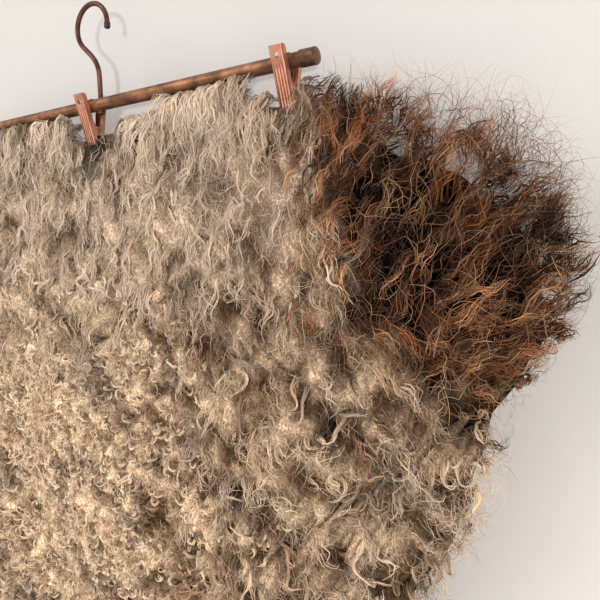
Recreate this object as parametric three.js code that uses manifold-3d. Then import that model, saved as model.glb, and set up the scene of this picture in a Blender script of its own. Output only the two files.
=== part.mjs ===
// A clip hanger with a long-wool fleece hanging from it.
// Millimetres, +Z up, +X along the rod, -Y towards the viewer and +Y towards the wall.
// The origin is the inner top of the hook's bow, where the hanger rests on whatever holds it up.
import * as THREE from 'three';
import { mergeVertices } from 'three/addons/utils/BufferGeometryUtils.js';
import Module from 'manifold-3d';

// Hook
const wireRadius = 2;
const bowRadius = 18; // centreline
const bowCentreLeftOfStem = 5.5;
const bowCentreAboveRod = 61.5;
const bowStartDegrees = 225; // where the bend from the stem joins the bow
const straightStem = 22; // above the rod's axis
const stemBelowRodAxis = 7;
const hookEndBelowBowCentre = 3.5;
const tipCapLength = 5;
const tipCapRadius = 2.5;
const washerRadius = 3.5;
const washerThickness = 0.6;
const nutRadius = 2.9;
const nutHeight = 2.1;
const nutDomeHeight = 0.8;
const domeShoulderShare = 0.65; // of the radius, on the tip cap and the nut

// Rod
const rodRadius = 5;
const rodWall = 1;
const rodHalfLength = 205; // to the outer face of a cap
const capRadius = 5.7;
const capLength = 12;
const capEndThickness = 1.2;
const capDomeHeight = 0.7;

// Clips
const clipWidth = 10.5;
const sheet = 0.9;
const bendRadius = 1.3; // outside of the fold between face and side wall
const pivotBelowRodAxis = 20;
const faceFromPivot = 7.4; // square to the face
const jawSpreadDegrees = 12.4; // each face from the clip's middle plane
const frontJawAbovePivot = 30.8; // along the face
const jawBelowPivot = 9.6;
const flangeDepth = 4.6;
const flangeCornerRadius = 2.5;
const earRadius = 3.3;
const earBlendHeight = 7;
const earWrapDegrees = 112; // below the ear's far side
const clipLeanDegrees = 4; // the jaws lie nearer the wall than the rod
const fingerHoleRadius = 2;
const fingerHoleBelowTop = 6.3;
const ribRadius = 0.75;
const ribProud = 0.35;
const ribSpacing = 2.2;
const ribCount = 3;
const ribTopAbovePivot = 17;
const ribFootAboveJawEnd = 1.4;
const dimpleRadius = 0.5;
const dimpleDepth = 0.35;
const dimpleAbovePivot = 15.4;
const tongueWidth = 4;
const tongueThickness = 0.6;
const tongueReachDegrees = 60; // past the top of the rod
const rivetRadius = 1.3;
const rivetBoreRadius = 0.7;
const rivetHeadRadius = 2;
const rivetHeadThickness = 0.6;
const springWireRadius = 0.35;
const springCoilRadius = 2.2;
const springPitch = 1.2;
const springWholeTurns = 3;
const springLegLength = 9.6;
const springLegDegrees = 35; // from upright
const padHeight = 5;
const padEndInset = 0.3;
const outerClipFromRodEnd = 23;
const middleClipLeftOfStem = 11;
const clipPlaces = [
  { side: 'left', x: outerClipFromRodEnd - rodHalfLength },
  { side: 'middle', x: -middleClipLeftOfStem },
  { side: 'right', x: rodHalfLength - outerClipFromRodEnd },
];

// Fleece
const fleeceHalfWidth = 360;
const fleeceHeight = 968;
const pileTopBelowRodAxis = 8;
const backingTopBelowRodAxis = 25.5;
const backingThickness = 4;
const backingInset = 26;
const grippedEdgeBand = 5; // how far the pile's top may dip along the gripped edge
const pileDepth = 34;
const pileRimDepth = 7;
const crownPower = 6; // the higher, the flatter the wool's front and the tighter its rim
const hangReach = 250; // depth over which the fleece turns from the clips' lean to upright
const gripZone = 40; // below the rod's axis the fleece follows the clips this far
const foldDepth = 7;
const foldPitch = 185;
const foldFadeDepth = 260;
const foldSlant = 0.22; // sideways drift of a fold per unit of height
const notchBelowJaw = 2;
const notchSideRoom = 1.2;
const notchCornerRadius = 3;
const nutNotchReach = 26; // past the stem
const clipTravelInward = 15;
const clipTravelOutward = 5;

// Fits and numbers of facets
const runningGap = 0.2;
const seatGap = 0.3;
const cutOverrun = 2;
const weldDistance = 0.0001;
const roundSides = 28;
const smallRoundSides = 16;
const wireSides = 12;
const wireSteps = 46;
const bendSteps = 8;
const bowSteps = 18;
const ribSides = 8;
const ribEndSteps = 2;
const cornerSteps = 3;
const springSides = 5;
const springStepsPerTurn = 8;
const fleeceSegments = 68;

const spread = THREE.MathUtils.degToRad(jawSpreadDegrees);
const seatAboveRod = bowCentreAboveRod + bowRadius - wireRadius;

const wasm = await Module();
wasm.setup();

const finishes = {
  hookBronze: new THREE.MeshStandardMaterial({ color: 0x6b3f26, roughness: 0.42, metalness: 0.9 }),
  blackTip: new THREE.MeshStandardMaterial({ color: 0x111111, roughness: 0.5, metalness: 0 }),
  rodCopper: new THREE.MeshStandardMaterial({ color: 0x94613f, roughness: 0.38, metalness: 0.9 }),
  capBronze: new THREE.MeshStandardMaterial({ color: 0x7a5a42, roughness: 0.45, metalness: 0.85 }),
  clipCopper: new THREE.MeshStandardMaterial({ color: 0xc98560, roughness: 0.33, metalness: 0.92 }),
  rivetBrass: new THREE.MeshStandardMaterial({ color: 0x9c875c, roughness: 0.4, metalness: 0.9 }),
  springSteel: new THREE.MeshStandardMaterial({ color: 0x8b8b8c, roughness: 0.3, metalness: 1 }),
  darkRubber: new THREE.MeshStandardMaterial({ color: 0x1d1a18, roughness: 0.8, metalness: 0 }),
  greyFelt: new THREE.MeshStandardMaterial({ color: 0x4c4742, roughness: 0.95, metalness: 0 }),
  creamWool: new THREE.MeshStandardMaterial({ color: 0xb9a283, roughness: 0.95, metalness: 0 }),
};

// A closed three.js geometry as a solid that can be joined and cut.
function solidFrom(geometry) {
  const bare = geometry.clone();
  bare.deleteAttribute('normal');
  bare.deleteAttribute('uv');
  const welded = mergeVertices(bare, weldDistance);
  return new wasm.Manifold(
    new wasm.Mesh({
      numProp: 3,
      vertProperties: welded.attributes.position.array,
      triVerts: new Uint32Array(welded.index.array),
    }),
  );
}

// The solid's vertices and triangles as a three.js geometry.
function geometryFrom(solid) {
  const mesh = solid.getMesh();
  const geometry = new THREE.BufferGeometry();
  geometry.setAttribute('position', new THREE.BufferAttribute(new Float32Array(mesh.vertProperties), 3));
  geometry.setIndex(new THREE.BufferAttribute(new Uint32Array(mesh.triVerts), 1));
  geometry.computeVertexNormals();
  return geometry;
}

function named(name, geometry, material) {
  const mesh = new THREE.Mesh(geometry, material);
  mesh.name = name;
  return mesh;
}

// A cylinder centred on the point, along the named axis.
function cylinder(radius, length, axis, centre, sides = smallRoundSides) {
  const geometry = new THREE.CylinderGeometry(radius, radius, length, sides);
  if (axis === 'x') geometry.rotateZ(Math.PI / 2);
  if (axis === 'z') geometry.rotateX(Math.PI / 2);
  return geometry.translate(centre.x, centre.y, centre.z);
}

// An outline drawn in the plane of Y and Z, as wide along X as asked and centred on x = 0.
function extrudeAcross(shape, width, curveSegments = cornerSteps) {
  const geometry = new THREE.ExtrudeGeometry(shape, { depth: width, bevelEnabled: false, curveSegments });
  const across = new THREE.Matrix4().makeBasis(
    new THREE.Vector3(0, 1, 0),
    new THREE.Vector3(0, 0, 1),
    new THREE.Vector3(1, 0, 0),
  );
  return geometry.applyMatrix4(across).translate(-width / 2, 0, 0);
}

// A round profile turned about X instead of the lathe's own upright axis.
function turnedAboutX(profile, sides) {
  return new THREE.LatheGeometry(profile, sides).rotateZ(-Math.PI / 2);
}

// Hook: from the nut under the rod up the stem, left into the bow, over the top and down to the tip.
function hookPoints() {
  const bowCentre = new THREE.Vector3(-bowCentreLeftOfStem, 0, bowCentreAboveRod);
  const onBow = (angle) =>
    new THREE.Vector3(Math.cos(angle), 0, Math.sin(angle)).multiplyScalar(bowRadius).add(bowCentre);
  const bowStart = THREE.MathUtils.degToRad(bowStartDegrees);
  const bowEnd = -Math.asin(hookEndBelowBowCentre / bowRadius);
  const stemTop = new THREE.Vector3(0, 0, straightStem);
  const joinsBow = onBow(bowStart);
  const stemHandle = new THREE.Vector3(0, 0, (joinsBow.z - stemTop.z) / 2);
  const bowHandle = new THREE.Vector3(1, 0, -1).multiplyScalar((joinsBow.z - stemTop.z) / 4);
  const bend = new THREE.CubicBezierCurve3(
    stemTop,
    stemTop.clone().add(stemHandle),
    joinsBow.clone().add(bowHandle),
    joinsBow,
  );
  const stemFoot = new THREE.Vector3(0, 0, -stemBelowRodAxis);
  const points = [stemFoot, stemFoot.clone().lerp(stemTop, 1 / 3), stemFoot.clone().lerp(stemTop, 2 / 3)];
  points.push(...bend.getPoints(bendSteps));
  for (let step = 1; step <= bowSteps; step++) {
    points.push(onBow(THREE.MathUtils.lerp(bowStart, bowEnd, step / bowSteps)));
  }
  return points;
}

function tubeAlong(points, radius, sides, steps) {
  const section = new THREE.Shape(
    Array.from({ length: sides }, (_, side) => {
      const angle = (2 * Math.PI * side) / sides;
      return new THREE.Vector2(radius * Math.cos(angle), radius * Math.sin(angle));
    }),
  );
  const path = new THREE.CatmullRomCurve3(points, false, 'centripetal');
  return new THREE.ExtrudeGeometry(section, { steps, bevelEnabled: false, extrudePath: path });
}

function hookTipCap(points) {
  const tip = points[points.length - 1];
  const inward = points[points.length - 2];
  const bore = wireRadius + runningGap;
  const roundFrom = tipCapLength - tipCapRadius / 2;
  const profile = [
    new THREE.Vector2(0, tipCapLength),
    new THREE.Vector2(tipCapRadius * domeShoulderShare, tipCapLength - tipCapRadius / 8),
    new THREE.Vector2(tipCapRadius, roundFrom),
    new THREE.Vector2(tipCapRadius, 0),
    new THREE.Vector2(bore, 0),
    new THREE.Vector2(bore, roundFrom),
    new THREE.Vector2(0, roundFrom),
  ];
  const geometry = new THREE.LatheGeometry(profile.reverse(), smallRoundSides);
  const heading = tip.clone().sub(inward).normalize();
  const turn = new THREE.Quaternion().setFromUnitVectors(new THREE.Vector3(0, 1, 0), heading);
  const foot = tip.clone().addScaledVector(heading, seatGap - roundFrom);
  geometry.applyQuaternion(turn);
  return geometry.translate(foot.x, foot.y, foot.z);
}

function stemWasher() {
  const bore = wireRadius + runningGap;
  const top = -rodRadius - seatGap;
  const profile = [
    new THREE.Vector2(bore, top),
    new THREE.Vector2(bore, top - washerThickness),
    new THREE.Vector2(washerRadius, top - washerThickness),
    new THREE.Vector2(washerRadius, top),
    new THREE.Vector2(bore, top),
  ];
  return new THREE.LatheGeometry(profile, smallRoundSides).rotateX(Math.PI / 2);
}

// A low domed nut that closes the stem's foot.
function stemNut() {
  const bore = wireRadius + runningGap;
  const top = -rodRadius - seatGap - washerThickness - seatGap;
  const boreEnd = -stemBelowRodAxis - runningGap;
  const foot = top - nutHeight;
  const profile = [
    new THREE.Vector2(0, boreEnd),
    new THREE.Vector2(bore, boreEnd),
    new THREE.Vector2(bore, top),
    new THREE.Vector2(nutRadius, top),
    new THREE.Vector2(nutRadius, foot + nutDomeHeight),
    new THREE.Vector2(nutRadius * domeShoulderShare, foot + nutDomeHeight / 4),
    new THREE.Vector2(0, foot),
  ];
  return new THREE.LatheGeometry(profile.reverse(), smallRoundSides).rotateX(Math.PI / 2);
}

// Rod: a thin tube with a cross hole that the hook's stem turns in.
function rodTube() {
  const end = rodHalfLength - capEndThickness - capDomeHeight - seatGap;
  const bore = rodRadius - rodWall;
  const profile = [
    new THREE.Vector2(bore, -end),
    new THREE.Vector2(rodRadius, -end),
    new THREE.Vector2(rodRadius, end),
    new THREE.Vector2(bore, end),
    new THREE.Vector2(bore, -end),
  ];
  const stemHole = cylinder(
    wireRadius + runningGap,
    2 * (rodRadius + cutOverrun),
    'z',
    new THREE.Vector3(),
  );
  return geometryFrom(solidFrom(turnedAboutX(profile, roundSides)).subtract(solidFrom(stemHole)));
}

// Push-on end cap, drawn for the right end: open towards the rod, slightly domed outside.
function rodCap() {
  const bore = rodRadius + runningGap;
  const mouth = rodHalfLength - capLength;
  const shoulder = rodHalfLength - capDomeHeight;
  const floor = shoulder - capEndThickness;
  const edgeRound = capDomeHeight / 2;
  const profile = [
    new THREE.Vector2(0, floor),
    new THREE.Vector2(bore, floor),
    new THREE.Vector2(bore, mouth),
    new THREE.Vector2(capRadius, mouth),
    new THREE.Vector2(capRadius, shoulder - edgeRound),
    new THREE.Vector2(capRadius - edgeRound, shoulder),
    new THREE.Vector2(capRadius / 2, rodHalfLength - capDomeHeight / 4),
    new THREE.Vector2(0, rodHalfLength),
  ];
  return turnedAboutX(profile, roundSides);
}

// Clips. A jaw stands upright in its own frame, with the pivot at the origin and its face towards -Y.

// Where a plane of the closed clip, parallel to its middle plane, cuts the jaw's own frame.
function jawYAt(fromMiddle, z) {
  return (-fromMiddle + z * Math.sin(spread)) / Math.cos(spread);
}

// Pressed sheet folded to a channel: a face and two side walls, deeper than any part of the jaw.
function channel(width, top) {
  const half = width / 2;
  const face = -faceFromPivot;
  const inner = bendRadius - sheet;
  const open = earRadius + cutOverrun;
  const section = new THREE.Shape();
  section.moveTo(-half, open);
  section.lineTo(-half, face + bendRadius);
  section.absarc(-half + bendRadius, face + bendRadius, bendRadius, Math.PI, 1.5 * Math.PI, false);
  section.absarc(half - bendRadius, face + bendRadius, bendRadius, 1.5 * Math.PI, 2 * Math.PI, false);
  section.lineTo(half, open);
  section.lineTo(half - sheet, open);
  section.absarc(half - bendRadius, face + bendRadius, inner, 0, -0.5 * Math.PI, true);
  section.absarc(-half + bendRadius, face + bendRadius, inner, 1.5 * Math.PI, Math.PI, true);
  section.lineTo(-half + sheet, open);
  section.closePath();
  const geometry = new THREE.ExtrudeGeometry(section, {
    depth: top + jawBelowPivot,
    bevelEnabled: false,
    curveSegments: cornerSteps,
  });
  return geometry.translate(0, 0, -jawBelowPivot);
}

// Side view of a jaw: straight wall, an ear round the pivot, and a lip drawn back behind the pad.
function jawSideOutline(top) {
  const face = -faceFromPivot;
  const edge = face + flangeDepth;
  const lipFromMiddle = backingThickness / 2 + 2 * seatGap;
  const lipTop = -earRadius - seatGap;
  const outline = new THREE.Shape();
  outline.moveTo(face, top);
  const corner = { y: edge - flangeCornerRadius, z: top - flangeCornerRadius };
  outline.lineTo(corner.y, top);
  outline.absarc(corner.y, corner.z, flangeCornerRadius, Math.PI / 2, 0, true);
  outline.lineTo(edge, earRadius + earBlendHeight);
  outline.quadraticCurveTo(edge, earRadius, 0, earRadius);
  outline.absarc(0, 0, earRadius, Math.PI / 2, -THREE.MathUtils.degToRad(earWrapDegrees), true);
  outline.lineTo(jawYAt(lipFromMiddle, lipTop), lipTop);
  outline.lineTo(jawYAt(lipFromMiddle, -jawBelowPivot), -jawBelowPivot);
  outline.lineTo(face, -jawBelowPivot);
  outline.closePath();
  return outline;
}

// One pressed rib: a slim round-ended bar sunk into the face until only its crown shows.
function rib(x) {
  const foot = -jawBelowPivot + ribFootAboveJawEnd;
  const length = ribTopAbovePivot - foot;
  const geometry = new THREE.CapsuleGeometry(ribRadius, length - 2 * ribRadius, ribEndSteps, ribSides);
  geometry.rotateX(Math.PI / 2);
  return geometry.translate(x, -faceFromPivot + ribRadius - ribProud, foot + length / 2);
}

function jawBody(width, top) {
  const side = extrudeAcross(jawSideOutline(top), width + 2 * cutOverrun, 2 * cornerSteps);
  const pivotHole = cylinder(rivetRadius + runningGap, width + 2 * cutOverrun, 'x', new THREE.Vector3());
  let jaw = solidFrom(channel(width, top)).intersect(solidFrom(side)).subtract(solidFrom(pivotHole));
  for (let index = 0; index < ribCount; index++) {
    const x = (index - (ribCount - 1) / 2) * ribSpacing;
    jaw = jaw.add(solidFrom(rib(x)));
  }
  return jaw;
}

function frontJaw() {
  const fingerHole = cylinder(
    fingerHoleRadius,
    2 * cutOverrun,
    'y',
    new THREE.Vector3(0, -faceFromPivot + sheet / 2, frontJawAbovePivot - fingerHoleBelowTop),
  );
  const dimple = cylinder(
    dimpleRadius,
    2 * dimpleDepth,
    'y',
    new THREE.Vector3(1.5 * ribSpacing, -faceFromPivot, dimpleAbovePivot),
    wireSides,
  );
  return geometryFrom(
    jawBody(clipWidth, frontJawAbovePivot).subtract(solidFrom(fingerHole)).subtract(solidFrom(dimple)),
  );
}

// The rod's axis in a jaw's own frame.
function rodInJaw() {
  return new THREE.Vector2(pivotBelowRodAxis * Math.sin(spread), pivotBelowRodAxis * Math.cos(spread));
}

// A strip folded forward from the back jaw's top edge, over the rod and down its far side.
function tongue() {
  const rod = rodInJaw();
  const inside = rodRadius + runningGap;
  const outside = inside + tongueThickness;
  const end = Math.PI / 2 - THREE.MathUtils.degToRad(tongueReachDegrees);
  const root = -faceFromPivot + sheet / 2;
  const strip = new THREE.Shape();
  strip.moveTo(root, rod.y + inside);
  strip.lineTo(rod.x, rod.y + inside);
  strip.absarc(rod.x, rod.y, inside, Math.PI / 2, end, true);
  strip.absarc(rod.x, rod.y, outside, end, Math.PI / 2, false);
  strip.lineTo(root, rod.y + outside);
  strip.closePath();
  return extrudeAcross(strip, tongueWidth, 2 * cornerSteps);
}

// The back jaw is narrower, so that its ears turn inside the front jaw's.
const backJawWidth = clipWidth - 2 * (sheet + seatGap);

function backJaw() {
  const top = rodInJaw().y + rodRadius + runningGap + tongueThickness;
  return geometryFrom(jawBody(backJawWidth, top).add(solidFrom(tongue())));
}

// A wedge of rubber between the face and the plane where it meets the fleece.
function jawPad(jawWidth) {
  const back = -faceFromPivot + sheet + seatGap;
  const foot = -jawBelowPivot + padEndInset;
  const top = foot + padHeight;
  const grip = backingThickness / 2 + seatGap;
  const wedge = new THREE.Shape();
  wedge.moveTo(back, foot);
  wedge.lineTo(jawYAt(grip, foot), foot);
  wedge.lineTo(jawYAt(grip, top), top);
  wedge.lineTo(back, top);
  wedge.closePath();
  return extrudeAcross(wedge, jawWidth - 2 * (sheet + seatGap));
}

// Tubular rivet with a rolled head on each side.
function pivotRivet() {
  const underHead = clipWidth / 2 + runningGap;
  const end = underHead + rivetHeadThickness;
  const profile = [
    new THREE.Vector2(rivetBoreRadius, -end),
    new THREE.Vector2((rivetHeadRadius + rivetBoreRadius) / 2, -end),
    new THREE.Vector2(rivetHeadRadius, -underHead - rivetHeadThickness / 3),
    new THREE.Vector2(rivetHeadRadius, -underHead),
    new THREE.Vector2(rivetRadius, -underHead),
    new THREE.Vector2(rivetRadius, underHead),
    new THREE.Vector2(rivetHeadRadius, underHead),
    new THREE.Vector2(rivetHeadRadius, underHead + rivetHeadThickness / 3),
    new THREE.Vector2((rivetHeadRadius + rivetBoreRadius) / 2, end),
    new THREE.Vector2(rivetBoreRadius, end),
    new THREE.Vector2(rivetBoreRadius, -end),
  ];
  return turnedAboutX(profile, smallRoundSides);
}

// The spring's centreline: a leg up each face, joined by the coil round the rivet.
function springPoints() {
  const lean = THREE.MathUtils.degToRad(springLegDegrees);
  const firstAngle = Math.PI + lean;
  const lastAngle = 2 * Math.PI - lean + 2 * Math.PI * springWholeTurns;
  const turns = (lastAngle - firstAngle) / (2 * Math.PI);
  const halfLength = (turns * springPitch) / 2;
  const steps = Math.round(turns * springStepsPerTurn);
  const legEnds = [-1, 1].map(
    (side) =>
      new THREE.Vector3(
        side * halfLength,
        side * (springCoilRadius * Math.cos(lean) + springLegLength * Math.sin(lean)),
        -springCoilRadius * Math.sin(lean) + springLegLength * Math.cos(lean),
      ),
  );
  const points = [legEnds[0]];
  for (let step = 0; step <= steps; step++) {
    const share = step / steps;
    const angle = THREE.MathUtils.lerp(firstAngle, lastAngle, share);
    points.push(
      new THREE.Vector3(
        THREE.MathUtils.lerp(-halfLength, halfLength, share),
        springCoilRadius * Math.cos(angle),
        springCoilRadius * Math.sin(angle),
      ),
    );
  }
  points.push(legEnds[1]);
  return points;
}

// A tube with a ring of vertices square to the path at each of its points, closed at both ends.
function sweptTube(points, radius, sides) {
  const positions = [];
  const faces = [];
  const tangents = points.map((_, index) => {
    const before = points[Math.max(index - 1, 0)];
    const after = points[Math.min(index + 1, points.length - 1)];
    return after.clone().sub(before).normalize();
  });
  let across = new THREE.Vector3(1, 0, 0);
  points.forEach((point, index) => {
    across = across.clone().addScaledVector(tangents[index], -across.dot(tangents[index])).normalize();
    const up = new THREE.Vector3().crossVectors(tangents[index], across);
    for (let side = 0; side < sides; side++) {
      const angle = (2 * Math.PI * side) / sides;
      const spot = point.clone();
      spot.addScaledVector(across, radius * Math.cos(angle));
      spot.addScaledVector(up, radius * Math.sin(angle));
      positions.push(spot.x, spot.y, spot.z);
    }
  });
  for (let ring = 0; ring < points.length - 1; ring++) {
    for (let side = 0; side < sides; side++) {
      const a = ring * sides + side;
      const b = ring * sides + ((side + 1) % sides);
      faces.push(a, b, b + sides, a, b + sides, a + sides);
    }
  }
  const lastRing = (points.length - 1) * sides;
  for (let side = 1; side < sides - 1; side++) {
    faces.push(0, side + 1, side);
    faces.push(lastRing, lastRing + side, lastRing + side + 1);
  }
  const geometry = new THREE.BufferGeometry();
  geometry.setAttribute('position', new THREE.Float32BufferAttribute(positions, 3));
  geometry.setIndex(faces);
  geometry.computeVertexNormals();
  return geometry;
}

// The least distance between surfaces of the same tube, for points more than half a turn apart.
function leastSelfGap(points, radius, pointsApart) {
  let least = Infinity;
  points.forEach((point, index) => {
    for (let other = index + pointsApart; other < points.length; other++) {
      least = Math.min(least, point.distanceTo(points[other]));
    }
  });
  return least - 2 * radius;
}

function clip(side, x) {
  const leaning = new THREE.Group();
  leaning.position.x = x;
  leaning.rotation.x = THREE.MathUtils.degToRad(clipLeanDegrees);
  const atPivot = new THREE.Group();
  atPivot.position.z = -pivotBelowRodAxis;
  leaning.add(atPivot);

  const front = new THREE.Group();
  front.rotation.x = spread;
  front.add(named(`${side}_clip_front_jaw`, frontJaw(), finishes.clipCopper));
  front.add(named(`${side}_clip_front_pad`, jawPad(clipWidth), finishes.darkRubber));

  const back = new THREE.Group();
  back.rotation.set(-spread, 0, Math.PI, 'XYZ');
  back.add(named(`${side}_clip_back_jaw`, backJaw(), finishes.clipCopper));
  back.add(named(`${side}_clip_back_pad`, jawPad(backJawWidth), finishes.darkRubber));

  const spring = sweptTube(springPoints(), springWireRadius, springSides);
  atPivot.add(front, back);
  atPivot.add(named(`${side}_clip_rivet`, pivotRivet(), finishes.rivetBrass));
  atPivot.add(named(`${side}_clip_spring`, spring, finishes.springSteel));
  return leaning;
}

// Fleece. Its outline goes clockwise from the rod's left end, seen from the front.
// x is a share of the half width from the stem, z a share of the height from the pile's top.
const outlineShares = [
  [-0.565, 0], [-0.18, 0.001], [0.2, 0], [0.56, 0.001], [0.73, 0.027], [0.89, 0.044], [0.97, 0.076],
  [1, 0.125], [0.985, 0.168], [0.93, 0.2], [0.89, 0.24], [0.85, 0.285], [0.76, 0.345],
  [0.67, 0.43], [0.66, 0.53], [0.74, 0.62], [0.89, 0.69], [0.93, 0.765], [0.79, 0.835], [0.52, 0.885],
  [0.3, 0.955], [0.02, 1], [-0.3, 0.968], [-0.55, 0.9], [-0.8, 0.83], [-0.95, 0.76], [-0.89, 0.67],
  [-0.72, 0.59], [-0.66, 0.49], [-0.72, 0.39], [-0.83, 0.29], [-0.95, 0.2], [-1, 0.13], [-0.95, 0.07],
  [-0.78, 0.026],
];
const fleeceCentreShare = 0.47;
const backingRingShares = [0.22, 0.42, 0.6, 0.77, 0.9, 1];
const overhangRingShares = [0.5, 0.85, 1];
const fleeceCentreZ = -pileTopBelowRodAxis - fleeceCentreShare * fleeceHeight;

// Points round the pelt, evenly spaced, in the rod's frame: x along the rod, y standing for height.
// Each also holds, as z, the share of the way from the centre at which the felted backing ends:
// its inset short of the wool, and straight along the gripped edge.
function peltOutline() {
  const corners = outlineShares.map(
    ([x, z]) => new THREE.Vector3(x * fleeceHalfWidth, -pileTopBelowRodAxis - z * fleeceHeight, 0),
  );
  const curve = new THREE.CatmullRomCurve3(corners, true, 'centripetal');
  const spots = curve.getSpacedPoints(fleeceSegments).slice(0, fleeceSegments);
  for (const spot of spots) {
    const rise = spot.y - fleeceCentreZ;
    const onGrippedEdge = -pileTopBelowRodAxis - spot.y < grippedEdgeBand;
    const inset = 1 - backingInset / Math.hypot(spot.x, rise);
    spot.z = onGrippedEdge ? (-backingTopBelowRodAxis - fleeceCentreZ) / rise : inset;
  }
  return spots;
}

// How far behind the rod's axis the fleece's middle surface hangs, with its folds.
function hangingY(x, z) {
  const below = -z;
  const past = Math.max(below - gripZone, 0);
  const followed = Math.min(below, gripZone) + hangReach * (1 - Math.exp(-past / hangReach));
  const lean = followed * Math.tan(THREE.MathUtils.degToRad(clipLeanDegrees));
  const fade = THREE.MathUtils.smoothstep(past, 0, foldFadeDepth);
  const fold = Math.cos((2 * Math.PI * (x + foldSlant * z)) / foldPitch);
  return lean + foldDepth * fade * fold;
}

// A closed skin between a front and a back surface, both reached by rings from the pelt's centre.
// The wool's inner rings are the backing's, so the two bodies' facets lie side by side.
function peltBody(outline, overhangs, frontAt, backAt) {
  const positions = [];
  const faces = [];
  const count = outline.length;
  const rings = backingRingShares.map((share) => (backingEnd) => share * backingEnd);
  if (overhangs) {
    const overhangRing = (share) => (backingEnd) => THREE.MathUtils.lerp(backingEnd, 1, share);
    rings.push(...overhangRingShares.map(overhangRing));
  }
  const addPoint = (x, z, surface, share) => {
    positions.push(x, surface(x, z, share), z);
  };
  const face = (facesFront, a, b, c) => (facesFront ? faces.push(a, b, c) : faces.push(a, c, b));
  const addSide = (surface, facesFront) => {
    const first = positions.length / 3;
    addPoint(0, fleeceCentreZ, surface, 0);
    for (const ring of rings) {
      for (const spot of outline) {
        const share = ring(spot.z);
        addPoint(spot.x * share, THREE.MathUtils.lerp(fleeceCentreZ, spot.y, share), surface, share);
      }
    }
    for (let step = 0; step < count; step++) {
      const next = (step + 1) % count;
      face(facesFront, first, first + 1 + next, first + 1 + step);
      for (let ring = 0; ring < rings.length - 1; ring++) {
        const inner = first + 1 + ring * count;
        const outer = inner + count;
        face(facesFront, inner + step, inner + next, outer + next);
        face(facesFront, inner + step, outer + next, outer + step);
      }
    }
    return first + 1 + (rings.length - 1) * count;
  };
  const frontRim = addSide(frontAt, true);
  const backRim = addSide(backAt, false);
  for (let step = 0; step < count; step++) {
    const next = (step + 1) % count;
    faces.push(frontRim + step, frontRim + next, backRim + next);
    faces.push(frontRim + step, backRim + next, backRim + step);
  }
  const geometry = new THREE.BufferGeometry();
  geometry.setAttribute('position', new THREE.Float32BufferAttribute(positions, 3));
  geometry.setIndex(faces);
  geometry.computeVertexNormals();
  return geometry;
}

function fleeceBacking() {
  const half = backingThickness / 2;
  return peltBody(
    peltOutline(),
    false,
    (x, z) => hangingY(x, z) - half,
    (x, z) => hangingY(x, z) + half,
  );
}

// Room round a clip's whole travel, open at the top.
function clipNotch(fromX, toX) {
  const height = pivotBelowRodAxis + jawBelowPivot + notchBelowJaw;
  const notch = new THREE.Shape();
  notch.moveTo(fromX, 0);
  notch.lineTo(fromX, -height + notchCornerRadius);
  notch.quadraticCurveTo(fromX, -height, fromX + notchCornerRadius, -height);
  notch.lineTo(toX - notchCornerRadius, -height);
  notch.quadraticCurveTo(toX, -height, toX, -height + notchCornerRadius);
  notch.lineTo(toX, 0);
  notch.closePath();
  const depth = 2 * (pileDepth + foldDepth + backingThickness);
  const options = { depth, bevelEnabled: false, curveSegments: cornerSteps };
  const geometry = new THREE.ExtrudeGeometry(notch, options);
  return geometry.rotateX(Math.PI / 2).translate(0, depth / 2, 0);
}

function notchRanges() {
  const reach = clipWidth / 2 + notchSideRoom;
  return clipPlaces.map(({ side, x }) => {
    if (side === 'left') return [x - clipTravelOutward - reach, x + clipTravelInward + reach];
    if (side === 'right') return [x - clipTravelInward - reach, x + clipTravelOutward + reach];
    return [x - clipTravelInward - reach, nutNotchReach];
  });
}

// The wool as one body: deep in the middle, rounding down to its rim, open where the clips work.
function woolPile() {
  const back = (x, z) => hangingY(x, z) - backingThickness / 2 - seatGap;
  const front = (x, z, share) => {
    const crown = Math.sqrt(Math.max(1 - share ** crownPower, 0));
    return back(x, z) - pileRimDepth - (pileDepth - pileRimDepth) * crown;
  };
  let pile = solidFrom(peltBody(peltOutline(), true, front, back));
  for (const [fromX, toX] of notchRanges()) {
    pile = pile.subtract(solidFrom(clipNotch(fromX, toX)));
  }
  return geometryFrom(pile);
}

// Assembly
const hanger = new THREE.Group();
hanger.position.set(bowCentreLeftOfStem, 0, -seatAboveRod);

const hookPath = hookPoints();
hanger.add(named('hook_wire', tubeAlong(hookPath, wireRadius, wireSides, wireSteps), finishes.hookBronze));
hanger.add(named('hook_tip_cap', hookTipCap(hookPath), finishes.blackTip));
hanger.add(named('stem_washer', stemWasher(), finishes.hookBronze));
hanger.add(named('stem_nut', stemNut(), finishes.hookBronze));
hanger.add(named('rod_tube', rodTube(), finishes.rodCopper));
hanger.add(named('right_rod_cap', rodCap(), finishes.capBronze));
hanger.add(named('left_rod_cap', rodCap().rotateZ(Math.PI), finishes.capBronze));
for (const { side, x } of clipPlaces) {
  hanger.add(clip(side, x));
}
hanger.add(named('fleece_backing', fleeceBacking(), finishes.greyFelt));
hanger.add(named('wool_pile', woolPile(), finishes.creamWool));

const springGap = leastSelfGap(springPoints(), springWireRadius, springStepsPerTurn / 2);
console.log(`least gap between the spring's turns: ${springGap.toFixed(2)} mm`);

const object = new THREE.Group();
object.name = 'clip_hanger_with_fleece';
object.add(hanger);

export default object;
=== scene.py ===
"""A metal clip hanger with a long-wool fleece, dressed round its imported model.

Everything is in metres. Shapes are worked out in the rod's frame, with x along the rod from the
stem and z up from the rod's axis, and are then shifted by ROD_CENTRE into the model's frame.
"""

import logging
import math
from collections.abc import Callable
from dataclasses import dataclass, field, replace
from enum import Enum

import bpy
import numpy as np
from mathutils import Matrix, Vector


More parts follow.
